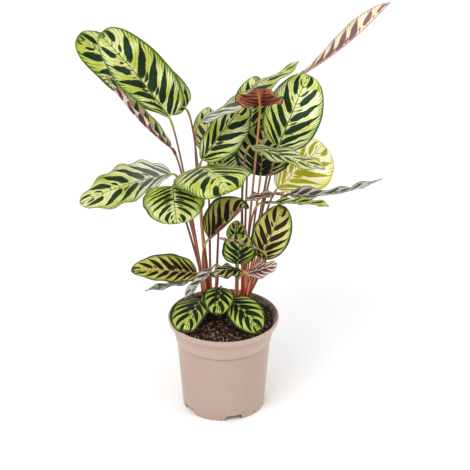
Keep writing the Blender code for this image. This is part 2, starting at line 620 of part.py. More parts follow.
def build_blade(form):
    """One blade: a grid bent by the form's rules, split into triangles and thickened."""
    long = np.linalg.norm(form["tip"] - form["neck"]) > LARGE_BLADE
    rows = ROWS_LARGE if long else ROWS_SMALL
    columns = COLUMNS_LARGE if long else COLUMNS_SMALL
    even = np.linspace(0.0, 1.0, rows + 1)
    s = 0.45 * even + 0.55 * (0.5 - 0.5 * np.cos(np.pi * even))
    v = np.linspace(-1.0, 1.0, columns + 1)
    points = blade_points(form, s, v)
    bm = bmesh.new()
    bmesh.ops.create_grid(bm, x_segments=columns, y_segments=rows, size=1.0)
    for vert in bm.verts:
        row = round((vert.co.y + 1.0) / 2.0 * rows)
        column = round((vert.co.x + 1.0) / 2.0 * columns)
        vert.co = Vector(points[row, column])
    bmesh.ops.triangulate(bm, faces=bm.faces[:], quad_method="FIXED")
    blade = add_object(form["name"], bm)
    thicken = blade.modifiers.new("thickness", "SOLIDIFY")
    thicken.thickness = BLADE_THICKNESS
    thicken.offset = -1.0
    finish(blade, form["colour"], 0.45)
    return blade


def main():
    for obj in list(bpy.data.objects):
        bpy.data.objects.remove(obj)
    pieces = [build_pot(), build_soil()]
    pieces += [build_crown(name) for name in CROWNS]
    pieces += [build_blade(form) for form in LEAVES]
    plant = bpy.data.objects.new("plant", None)
    plant.location = PLANT_PLACE
    bpy.context.scene.collection.objects.link(plant)
    for piece in pieces:
        piece.parent = plant


main()
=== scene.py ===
# %% [markdown]
# # A potted calathea
# A clump of patterned leaves in a thin plastic pot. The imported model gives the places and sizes,
# and this script dresses it: every leaf, stalk and crumb of peat is made here as finer geometry
# that keeps the form of the solid it stands for.

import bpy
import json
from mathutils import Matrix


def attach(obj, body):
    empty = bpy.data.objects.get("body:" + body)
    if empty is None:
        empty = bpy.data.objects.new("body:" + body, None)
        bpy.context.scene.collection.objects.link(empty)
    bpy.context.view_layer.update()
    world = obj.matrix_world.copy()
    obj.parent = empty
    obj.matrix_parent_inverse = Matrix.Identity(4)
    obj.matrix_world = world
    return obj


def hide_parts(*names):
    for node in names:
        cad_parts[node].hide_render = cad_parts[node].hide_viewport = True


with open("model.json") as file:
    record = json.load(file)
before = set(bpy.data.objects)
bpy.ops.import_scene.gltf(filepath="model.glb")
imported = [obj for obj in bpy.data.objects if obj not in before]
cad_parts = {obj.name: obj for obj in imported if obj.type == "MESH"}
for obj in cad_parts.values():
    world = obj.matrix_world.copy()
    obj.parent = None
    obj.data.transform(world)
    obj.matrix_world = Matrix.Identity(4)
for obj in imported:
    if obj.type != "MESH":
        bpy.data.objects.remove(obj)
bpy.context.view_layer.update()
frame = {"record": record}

import json
import math
from types import SimpleNamespace

import bpy
import numpy as np
from mathutils import Vector

# %% [markdown]
# Colours are easiest to pick as the hex values that a paint program shows. Blender's shaders
# count light in linear steps, so one function turns the one into the other.

# %% Colours from hex values
def colour(hex_value):
    """An sRGB hex value as the linear colour that the shaders use."""
    channels = [int(hex_value[i:i + 2], 16) / 255.0 for i in (1, 3, 5)]
    linear = [c / 12.92 if c <= 0.04045 else ((c + 0.055) / 1.055) ** 2.4 for c in channels]
    return (*linear, 1.0)


print("peat brown is", [round(c, 3) for c in colour("#2a1b12")])

# %% [markdown]
# A finish is a chain of shader nodes. One function adds a node, sets its settings, and fills its
# visible inputs in order: a number or colour is set, and another node is linked. The short ones
# after it name the kinds that come up most.

# %% Adding a node
def fill(tree, socket, value):
    """Set a socket to a number or colour, or link it to a node or to another socket."""
    if isinstance(value, bpy.types.Node):
        value = next(out for out in value.outputs if out.enabled)
    if isinstance(value, bpy.types.NodeSocket):
        tree.links.new(value, socket)
    else:
        socket.default_value = value


def node(tree, kind, *inputs, at=None, **settings):
    """A new node. inputs go to its visible sockets in order, and at names others by their name."""
    made = tree.nodes.new("ShaderNode" + kind)
    for name, value in settings.items():
        setattr(made, name, value)
    shown = [socket for socket in made.inputs if socket.enabled]
    pairs = list(zip(shown, inputs))
    pairs += [(made.inputs[name], value) for name, value in (at or {}).items()]
    for socket, value in pairs:
        fill(tree, socket, value)
    return made


def maths(tree, operation, *inputs):
    return node(tree, "Math", *inputs, operation=operation)


def ramp(tree, value, start, stop, first=0.0, last=1.0):
    """Even steps from first to last while the value runs from start to stop, held beyond both."""
    return node(tree, "MapRange", value, start, stop, first, last)


def blend(tree, share, *tones):
    """The first tone where share is 0, the second where it is 1. A tone may be a hex value."""
    tones = [colour(tone) if isinstance(tone, str) else tone for tone in tones]
    return node(tree, "Mix", share, *tones, data_type="RGBA")


def stored(tree, name):
    """A number that each point of the mesh carries."""
    return node(tree, "Attribute", attribute_name=name).outputs["Fac"]


def roughen(tree, shader, height, strength, distance):
    """Give the surface a fine relief from a height, with the distance in metres."""
    bump = node(tree, "Bump", at={"Strength": strength, "Distance": distance, "Height": height})
    fill(tree, shader.inputs["Normal"], bump)


def new_finish(name, roughness, ior=1.45):
    """A new material, its node tree and its shader."""
    material = bpy.data.materials.new(name)
    material.use_nodes = True
    shader = material.node_tree.nodes["Principled BSDF"]
    shader.inputs["Roughness"].default_value = roughness
    shader.inputs["IOR"].default_value = ior
    return material, material.node_tree, shader


# %% [markdown]
# The pot's axis doesn't stand at the origin, because the origin lies below the middle of the
# whole plant. Everything is measured from the pot's axis and then moved by this one step.

# %% The pot's place and sizes, in metres
PLANT_PLACE = Vector((-0.009, -0.044, 0.0))
POT_RIM_RADIUS = 0.070
POT_FOOT_RADIUS = 0.052
POT_HEIGHT = 0.125
POT_WALL = 0.0013
RIM_LIP_HEIGHT = 0.0090
RIM_LIP_REACH = 0.0062
COLLAR_HEIGHT = 0.031
COLLAR_STEP = 0.0014
BODY_TOP_RADIUS = 0.0590
FOOT_ROUNDING = 0.0010
FLOOR_RAISE = 0.0078
POT_SIDES = 160
NOTCH_COUNT = 5
NOTCH_FIRST_AZIMUTH = math.radians(-75.0)
NOTCH_WIDTH = 0.0210
NOTCH_HEIGHT = 0.0070
NOTCH_DEPTH = 0.012
NOTCH_ROUNDING = 0.0024
DRAIN_RADIUS = 0.0048
DRAIN_ROD_LENGTH = 0.015
DRAIN_RING_RADIUS = 0.036


def collar_share(z):
    """0 at the collar's lower edge and below it, 1 where the rim begins to flare."""
    return max(0.0, z - POT_HEIGHT + COLLAR_HEIGHT) / (COLLAR_HEIGHT - RIM_LIP_HEIGHT)


def wall_radius(z):
    """Outer radius of the pot at a height: a tapered body and a wider collar."""
    share = collar_share(z)
    if share > 0.0:
        foot = BODY_TOP_RADIUS + COLLAR_STEP
        return foot + (POT_RIM_RADIUS - RIM_LIP_REACH - foot) * share
    rise = z / (POT_HEIGHT - COLLAR_HEIGHT)
    return POT_FOOT_RADIUS + (BODY_TOP_RADIUS - POT_FOOT_RADIUS) * rise


def inner_radius(z):
    """Inner radius of the pot at a height, which has no step behind the collar."""
    share = collar_share(z)
    step = COLLAR_STEP * (1.0 - share) if share > 0.0 else 0.0
    return wall_radius(z) - 1.5 * POT_WALL - step


# %% [markdown]
# Operators act on whatever is selected, so each step starts from a clean selection. A finished
# piece rides on the one body of the plant and hides the solid it stands for.

# %% Small helpers for pieces
def only(*objects):
    """Select these objects alone, or none. The last one is active."""
    bpy.ops.object.select_all(action="DESELECT")
    for obj in objects:
        obj.select_set(True)
        bpy.context.view_layer.objects.active = obj


def added(primitive, **settings):
    """Add a primitive and give it back, with its place in its mesh."""
    only()
    primitive(**settings)
    bpy.ops.object.transform_apply(location=True, rotation=True, scale=True)
    return bpy.context.object


def edit(obj, step, **settings):
    """Run one edit-mode operator on the whole of a mesh."""
    only(obj)
    bpy.ops.object.mode_set(mode="EDIT")
    bpy.ops.mesh.select_all(action="SELECT")
    step(**settings)
    bpy.ops.object.mode_set(mode="OBJECT")


def apply_modifier(obj, kind, **settings):
    """Add a modifier with its settings and make it part of the mesh."""
    only(obj)
    modifier = obj.modifiers.new(kind.lower(), kind)
    for name, value in settings.items():
        setattr(modifier, name, value)
    bpy.ops.object.modifier_apply(modifier=modifier.name)


def cut(obj, cutter):
    """Take the cutter's form out of a piece, and delete the cutter."""
    apply_modifier(obj, "BOOLEAN", object=cutter, operation="DIFFERENCE", solver="EXACT")
    bpy.data.objects.remove(cutter)


def copied(model):
    """A copy of a model with its own mesh."""
    copy = model.copy()
    copy.data = model.data.copy()
    bpy.context.scene.collection.objects.link(copy)
    return copy


def joined(*objects):
    """Join the objects into the last one, with their places in its mesh."""
    only(*objects)
    bpy.ops.object.join()
    bpy.ops.object.transform_apply(location=True, rotation=True, scale=True)
    return bpy.context.object


def triangles(obj):
    obj.data.calc_loop_triangles()
    return len(obj.data.loop_triangles)


def finish_piece(obj, name, slot, *stands_for, material=None, sharp_from=None):
    """Name the piece, give it its material, put its place in its mesh, and tie it to the frame.

    Edges sharper than sharp_from, in degrees, stay sharp and the others look smooth.
    """
    obj.name = name
    obj.data.name = name
    obj.location = PLANT_PLACE
    if material:
        obj.data.materials.clear()
        obj.data.materials.append(material)
    only(obj)
    if sharp_from:
        bpy.ops.object.shade_smooth_by_angle(angle=math.radians(sharp_from))
    bpy.ops.object.transform_apply(location=True, rotation=True, scale=True)
    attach(obj, "root")
    if stands_for:
        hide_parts(*stands_for)
    print(name, triangles(obj), "triangles")


# %% [markdown]
# ## The pot
# A grower's pot is injection moulded: one thin skin of plastic with a rolled rim, a collar that
# steps in, and a foot ring with notches that let water out. It could be a lathe curve, but
# extruding a circle up its own outline, ring by ring, is how one would do it by hand, and it
# keeps every ring's radius exact. The list of rings climbs the outside, turns over the rim and
# goes back down the inside.

# %% The pot's outline, as radius and height of each ring
lip_bottom = POT_HEIGHT - RIM_LIP_HEIGHT
collar_bottom = POT_HEIGHT - COLLAR_HEIGHT
inner_floor = FLOOR_RAISE + POT_WALL
inner_foot = wall_radius(0.0) - 2.0 * POT_WALL
BEAD = 0.00035
BEAD_HEIGHT = POT_HEIGHT - 0.020


def bead(z):
    """Four rings that make one faint moulded line round the wall."""
    steps = ((-0.0009, 0.0), (-0.0003, 1.0), (0.0003, 1.0), (0.0009, 0.0))
    return [(wall_radius(z + dz) + BEAD * out, z + dz) for dz, out in steps]


# How far in from the rim's widest ring and how far up its lip each ring of the rim lies, as
# shares of the lip's reach and height
RIM_RINGS = [
    (0.92, 0.04), (0.34, 0.11), (0.22, 0.145), (0.165, 0.21), (0.10, 0.42), (0.02, 0.66),
    (0.0, 0.78), (0.02, 0.87), (0.10, 0.97), (0.20, 1.0), (0.30, 0.99), (0.40, 0.90),
    (0.50, 0.72), (0.68, 0.52), (0.92, 0.33),
]
OUTLINE = [
    (inner_foot - POT_WALL, FLOOR_RAISE),
    (inner_foot - 0.3 * POT_WALL, FLOOR_RAISE - 0.3 * POT_WALL),
    (inner_foot, FLOOR_RAISE - POT_WALL),
    (inner_foot, 0.0003),
    (inner_foot + 0.0003, 0.0),
    (POT_FOOT_RADIUS - FOOT_ROUNDING, 0.0),
    (POT_FOOT_RADIUS - 0.62 * FOOT_ROUNDING, 0.08 * FOOT_ROUNDING),
    (POT_FOOT_RADIUS - 0.3 * FOOT_ROUNDING, 0.3 * FOOT_ROUNDING),
    *[(wall_radius(z), z) for z in (FOOT_ROUNDING, 0.030, 0.065, collar_bottom - 0.0012)],
    (BODY_TOP_RADIUS - 0.0002, collar_bottom - 0.0001),
    (BODY_TOP_RADIUS + 0.85 * COLLAR_STEP, collar_bottom + 0.03 * COLLAR_STEP),
    (BODY_TOP_RADIUS + 1.0 * COLLAR_STEP, collar_bottom + 0.25 * COLLAR_STEP),
    (wall_radius(collar_bottom + COLLAR_STEP), collar_bottom + COLLAR_STEP),
    *bead(BEAD_HEIGHT),
    (wall_radius(lip_bottom - 0.0012), lip_bottom - 0.0012),
    (wall_radius(lip_bottom) + 0.0001, lip_bottom),
    *[(POT_RIM_RADIUS - inward * RIM_LIP_REACH, lip_bottom + upward * RIM_LIP_HEIGHT)
      for inward, upward in RIM_RINGS],
    *[(inner_radius(z), z) for z in (lip_bottom - 0.0005, collar_bottom, 0.03, inner_floor)],
]
print(len(OUTLINE), "rings from foot to rim and back to the floor")


# %% Extrude a circle up the outline
def turned_piece(outline, sides):
    """Extrude a circle from ring to ring of an outline of (radius, height), and close its ends."""
    radius, z = outline[0]
    obj = added(bpy.ops.mesh.primitive_circle_add, vertices=sides, radius=radius,
                location=(0, 0, z))
    edit(obj, bpy.ops.mesh.edge_face_add)
    bpy.ops.object.mode_set(mode="EDIT")
    bpy.ops.mesh.select_all(action="DESELECT")
    bpy.ops.mesh.select_non_manifold()
    for radius_after, z_after in outline[1:]:
        bpy.ops.mesh.extrude_edges_move(TRANSFORM_OT_translate={"value": (0, 0, z_after - z)})
        share = radius_after / radius
        bpy.ops.transform.resize(value=(share, share, 1), center_override=(0, 0, z_after))
        radius, z = radius_after, z_after
    bpy.ops.mesh.edge_face_add()
    bpy.ops.object.mode_set(mode="OBJECT")
    edit(obj, bpy.ops.mesh.normals_make_consistent, inside=False)
    return obj


pot = turned_piece(OUTLINE, POT_SIDES)
print("pot shell:", len(pot.data.polygons), "faces")

# %% [markdown]
# The notches and drain holes are cut with blocks and rods, because a Boolean gives the clean
# square-cut edge that a steel mould leaves. A small bevel on the notch blocks rounds the
# notches' upper corners, as on the real foot.

# %% Cut the notches and the drain holes
def on_ring(radius, azimuth, z):
    """The place at an azimuth on a ring round the pot's axis."""
    return Vector((radius * math.cos(azimuth), radius * math.sin(azimuth), z))


def rod(sides, radius, depth, place):
    return added(bpy.ops.mesh.primitive_cylinder_add, vertices=sides, radius=radius, depth=depth,
                 location=place)


for number in range(NOTCH_COUNT):
    azimuth = NOTCH_FIRST_AZIMUTH + 2.0 * math.pi * number / NOTCH_COUNT
    block = added(bpy.ops.mesh.primitive_cube_add, size=1.0, rotation=(0.0, 0.0, azimuth),
                  scale=(NOTCH_DEPTH, NOTCH_WIDTH, 2.0 * NOTCH_HEIGHT),
                  location=on_ring(POT_FOOT_RADIUS - 0.001, azimuth, 0.0))
    apply_modifier(block, "BEVEL", width=NOTCH_ROUNDING, segments=4, limit_method="ANGLE")
    cut(pot, block)
    cut(pot, rod(40, DRAIN_RADIUS, DRAIN_ROD_LENGTH, on_ring(DRAIN_RING_RADIUS, azimuth, 0.008)))
print("pot after its cuts:", len(pot.data.polygons), "faces")

# %% [markdown]
# The plastic is polypropylene with a taupe pigment. Straight from the mould it is satin, not
# glossy: the steel's fine blasting leaves a grain too small to see one by one, so it is drawn a
# little coarser, at about a millimetre. The collar and the rim are painted lighter, as painted
# light, thin lines of painted shade lie under the collar's ledge and under the rim, and specks of
# peat cling near the foot and inside the rim.

# %% Satin taupe polypropylene
RIM_INSIDE = 0.0676
FILM_BOTTOM = 0.1172


def potting_plastic():
    material, tree, shader = new_finish("moulded_polypropylene_satin_taupe", 0.42, ior=1.49)
    place = node(tree, "TexCoord").outputs["Object"]
    height = node(tree, "SeparateXYZ", place).outputs["Z"]
    clouds = node(tree, "TexNoise", place, at={"Scale": 14.0, "Detail": 3.0})
    skin = blend(tree, ramp(tree, clouds, 0.38, 0.66), "#b09789", "#a99081")
    # Painted light: the collar and the rim above it are made lighter
    painted_collar_light = ramp(tree, height, collar_bottom, collar_bottom + 0.004, 0.0, 0.22)
    skin = blend(tree, painted_collar_light, skin, "#d6bcae")
    near_foot = ramp(tree, height, 0.0, 0.030, 0.12, 0.0)
    dirty = maths(tree, "ADD", near_foot, ramp(tree, height, 0.105, 0.120, 0.0, 0.05))
    specks = node(tree, "TexNoise", place, at={"Scale": 420.0, "Detail": 2.0})
    speck = maths(tree, "GREATER_THAN", specks, maths(tree, "SUBTRACT", 0.76, dirty))
    skin = blend(tree, speck, skin, "#4a3629")

    # Painted shade: thin darker lines under the collar's ledge and under the rim
    for shaded_line, strength in ((collar_bottom - 0.0002, 0.6), (lip_bottom + 0.0006, 0.5)):
        away = maths(tree, "ABSOLUTE", maths(tree, "SUBTRACT", height, shaded_line))
        skin = blend(tree, ramp(tree, away, 0.0004, 0.0012, strength, 0.0), skin, "#6b564a")

    # Damp peat clings to the inside of the rim
    flat = node(tree, "VectorMath", place, (1.0, 1.0, 0.0), operation="MULTIPLY")
    from_axis = node(tree, "VectorMath", flat, operation="LENGTH").outputs["Value"]
    inside = maths(tree, "MULTIPLY", maths(tree, "LESS_THAN", from_axis, RIM_INSIDE),
                   maths(tree, "GREATER_THAN", height, FILM_BOTTOM))
    peaty = node(tree, "TexNoise", place, at={"Scale": 170.0, "Detail": 3.0})
    film = maths(tree, "MULTIPLY", ramp(tree, peaty, 0.36, 0.56, 0.35, 1.0),
                 ramp(tree, height, 0.1190, POT_HEIGHT, 1.0, 0.5))
    skin = blend(tree, maths(tree, "MULTIPLY", film, inside), skin, "#2e2019")
    fill(tree, shader.inputs["Base Color"], skin)
    fill(tree, shader.inputs["Roughness"], ramp(tree, clouds, 0.3, 0.7, 0.31, 0.40))
    grain = node(tree, "TexNoise", place, at={"Scale": 900.0, "Detail": 2.0})
    roughen(tree, shader, grain, 0.10, 0.0002)
    return material


finish_piece(pot, "grower_pot", "pot", "pot", material=potting_plastic(), sharp_from=35.0)

# %% [markdown]
# ## The peat
# Potting peat is a low mound of dark crumbs with paler fibres in it. A displaced disc alone
# looks like cloth, so the mound carries the broad lumps, and hundreds of loose crumbs and
# fibres lie on it. The pieces are modelled once and copied, turned and scaled at random.

# %% The mound
SOIL_LEVEL = 0.119
SOIL_RADIUS = 0.0620
SOIL_MOUND = 0.0035
SOIL_LUMP = 0.0007
SOIL_ROUGHNESS = 0.0011
SOIL_HEAP = 0.065
GAP = 0.0003
CROWNS = {"left": (-0.016, 0.032), "right": (0.019, 0.027)}
CROWN_RADIUS = 0.0135
CROWN_DEPTH = 0.016
CROWN_CUT = 0.04
SOIL_RINGS = 34
SOIL_SIDES = 120
chance = np.random.default_rng(11)


def soil_height(x, y):
    """Top of the peat: a low mound with shallow hollows, heaped up towards the back."""
    fall = math.hypot(x, y) / POT_FOOT_RADIUS
    lumps = math.sin(x * 190.0 + 0.6) * math.cos(y * 160.0 - 0.4) + math.sin(x * 83.0 - y * 118.0)
    heap = SOIL_HEAP * max(0.0, y)
    return SOIL_LEVEL + SOIL_MOUND * (0.6 - 0.7 * fall * fall) + SOIL_LUMP * lumps + heap


soil_floor = FLOOR_RAISE + POT_WALL + GAP
soil_foot = inner_radius(soil_floor) - 3.0 * GAP
soil_shoulder = inner_radius(collar_bottom) - 3.0 * GAP
soil_flare = inner_radius(lip_bottom) - 3.0 * GAP
shares = [1.0 - i / SOIL_RINGS for i in range(SOIL_RINGS)]
side = [(soil_foot, soil_floor), (soil_shoulder, collar_bottom),
        (soil_flare, lip_bottom - 0.0015)]
mound = turned_piece(side + [(SOIL_RADIUS * k, SOIL_LEVEL) for k in shares], SOIL_SIDES)
for vert in mound.data.vertices:
    x, y, z = vert.co
    if z > SOIL_LEVEL - 0.001:
        inside = 1.0 - math.hypot(x, y) / SOIL_RADIUS
        rough = SOIL_ROUGHNESS * chance.uniform(-1.0, 1.0) * min(1.0, 8.0 * inside)
        vert.co.z = soil_height(x, y) + rough

# Flat triangles, because the cut leaves doubled edges in faces that aren't flat
edit(mound, bpy.ops.mesh.quads_convert_to_tris)

# %% The holes where the crowns stand
for x, y in CROWNS.values():
    bottom = SOIL_LEVEL - CROWN_DEPTH - GAP
    cut(mound, rod(16, CROWN_RADIUS + GAP, CROWN_CUT, (x, y, bottom + 0.5 * CROWN_CUT)))
print("mound with its holes:", triangles(mound), "triangles")


# %% Crumbs of peat
def cut_rings(obj, heights):
    """Cut a piece into rings at these heights."""
    for height in heights:
        edit(obj, bpy.ops.mesh.bisect, plane_co=(0, 0, height), plane_no=(0, 0, 1))


def model_crumb():
    """One lump: a coarse ball with its points pushed in and out."""
    crumb = added(bpy.ops.mesh.primitive_ico_sphere_add, subdivisions=1, radius=1.0)
    edit(crumb, bpy.ops.transform.vertex_random, offset=0.35, seed=4)
    return crumb


def model_fibre():
    """One fibre: a thin rod with four bends."""
    fibre = rod(4, 1.0, 1.0, (0, 0, 0))
    cut_rings(fibre, (-0.25, 0.0, 0.25))
    for vert in fibre.data.vertices:
        vert.co.x += 9.0 * math.sin(4.0 * vert.co.z) * abs(vert.co.z)
        vert.co.y += 6.0 * math.cos(5.0 * vert.co.z)
    return fibre


def strew(model, count, size, name):
    """Copies of a model on the mound, turned and scaled by chance, as one piece."""
    copies = []
    while len(copies) < count:
        angle = chance.uniform(0.0, 2.0 * math.pi)
        place = on_ring(SOIL_RADIUS * 0.97 * math.sqrt(chance.uniform(0.0, 1.0)), angle, 0.0)
        grow = size * chance.uniform(0.55, 1.3)
        turns = chance.uniform(-math.pi, math.pi, 3)
        if min(math.dist(place.xy, crown) for crown in CROWNS.values()) < CROWN_RADIUS + 0.002:
            continue
        copy = copied(model)
        if name == "fibre":
            copy.rotation_euler = (math.pi / 2.0 + 0.25 * turns[1] / math.pi, 0.0, turns[2])
            copy.scale = (0.00030, 0.00024, 6.0 * grow)
        else:
            copy.rotation_euler = turns
            copy.scale = (grow, grow * chance.uniform(0.5, 0.9), grow * chance.uniform(0.35, 0.8))
        place.z = soil_height(place.x, place.y) + 0.35 * size
        copy.location = place
        copies.append(copy)
    bpy.data.objects.remove(model)
    print(count, name, "pieces")
    return joined(*copies)


crumbs = strew(model_crumb(), 900, 0.0016, "crumb")
clumps = strew(model_crumb(), 260, 0.0034, "clump")
fibres = strew(model_fibre(), 220, 0.0017, "fibre")

# %% [markdown]
# Damp peat is nearly black and soaks up light. The colour changes from crumb to crumb, and a few
# crumbs are dry and tan, which is what makes it read as soil and not as tar. It has no gloss.


# %% Damp peat and dry fibre
def peat_finish(name, dark, middle, dry, dry_from):
    material, tree, shader = new_finish(name, 0.92, ior=1.4)
    place = node(tree, "TexCoord").outputs["Object"]
    lump = node(tree, "TexVoronoi", place, at={"Scale": 330.0})
    tone = node(tree, "SeparateColor", lump.outputs["Color"])
    pale = ramp(tree, tone.outputs[1], dry_from, dry_from + 0.05, 0.0, 0.85)
    brown = blend(tree, tone.outputs[0], dark, middle)
    fill(tree, shader.inputs["Base Color"], blend(tree, pale, brown, dry))
    grit = node(tree, "TexNoise", place, at={"Scale": 1500.0, "Detail": 2.0})
    roughen(tree, shader, grit, 0.5, 0.0006)
    return material


damp_peat = peat_finish("damp_potting_peat", "#130c09", "#38261c", "#86684f", 0.88)
dry_fibre = peat_finish("dry_peat_fibre", "#6b4e38", "#a5835f", "#d0b48e", 0.5)
finish_piece(mound, "peat_mound", "peat", "soil", material=damp_peat)
finish_piece(crumbs, "peat_crumbs", "peat", material=damp_peat)
finish_piece(clumps, "peat_clumps", "peat", material=damp_peat)
finish_piece(fibres, "peat_fibres", "peat", material=dry_fibre)

# %% [markdown]
# ## The form of a leaf
# Each leaf bends in its own way, so its form is a few numbers: where the midrib starts and ends,
# where the upper side faces, how wide it is, how the halves fold and curl, and how the margin
# waves. They are the same numbers as in the solid model, so the fine leaf keeps the solid's form.
# The two ends are read from the photo, as the column and the row of a pixel and an estimated
# depth, and the camera that fits the pot turns them into places. Three more values say how many
# large blotches each half has, and which finishes the two sides have.

# %% From the photo's pixels to places
CAMERA_AIM = (0.0145, 0.0, 0.238)
CAMERA_DISTANCE = 2.4
CAMERA_DOWN = math.radians(27.0)
FOCAL_PIXELS = 1944.0
PHOTO_MIDDLE = 235.0
AHEAD = np.array([0.0, math.cos(CAMERA_DOWN), -math.sin(CAMERA_DOWN)])
ABOVE = np.array([0.0, math.sin(CAMERA_DOWN), math.cos(CAMERA_DOWN)])
ASIDE = np.array([1.0, 0.0, 0.0])
EYE = np.array(CAMERA_AIM) - AHEAD * CAMERA_DISTANCE


def seen_at(column, row, depth):
    """The place that the photo shows at a pixel, at a depth in metres behind the pot's axis."""
    ray = AHEAD + (ASIDE * (column - PHOTO_MIDDLE) - ABOVE * (row - PHOTO_MIDDLE)) / FOCAL_PIXELS
    return EYE + ray * (depth - EYE[1]) / ray[1]


# %% One leaf's numbers
PLAIN_LEAF = {
    "uneven": 0.0, "blunt": 0.56, "broadest": 0.47, "arch": 0.0, "sway": 0.0, "fold": 8, "curl": 0,
    "twist": 0, "roll": (0, 0.5, 1.0), "wave": (0.002, 3, 0.0), "blotches": 5, "upper": "fresh",
    "under": "pale",
}


def leaf(name, crown, neck, tip, face, width, **differs):
    """A leaf's numbers. A pair is for the left and the right half, one number for both."""
    form = {**PLAIN_LEAF, **differs}
    for key in ("blunt", "broadest", "fold", "curl"):
        form[key] = np.broadcast_to(form[key], 2)
    form.update(name="leaf_" + name, crown=crown, neck=seen_at(*neck), tip=seen_at(*tip),
                face=np.array(face, float), width=width)
    return form


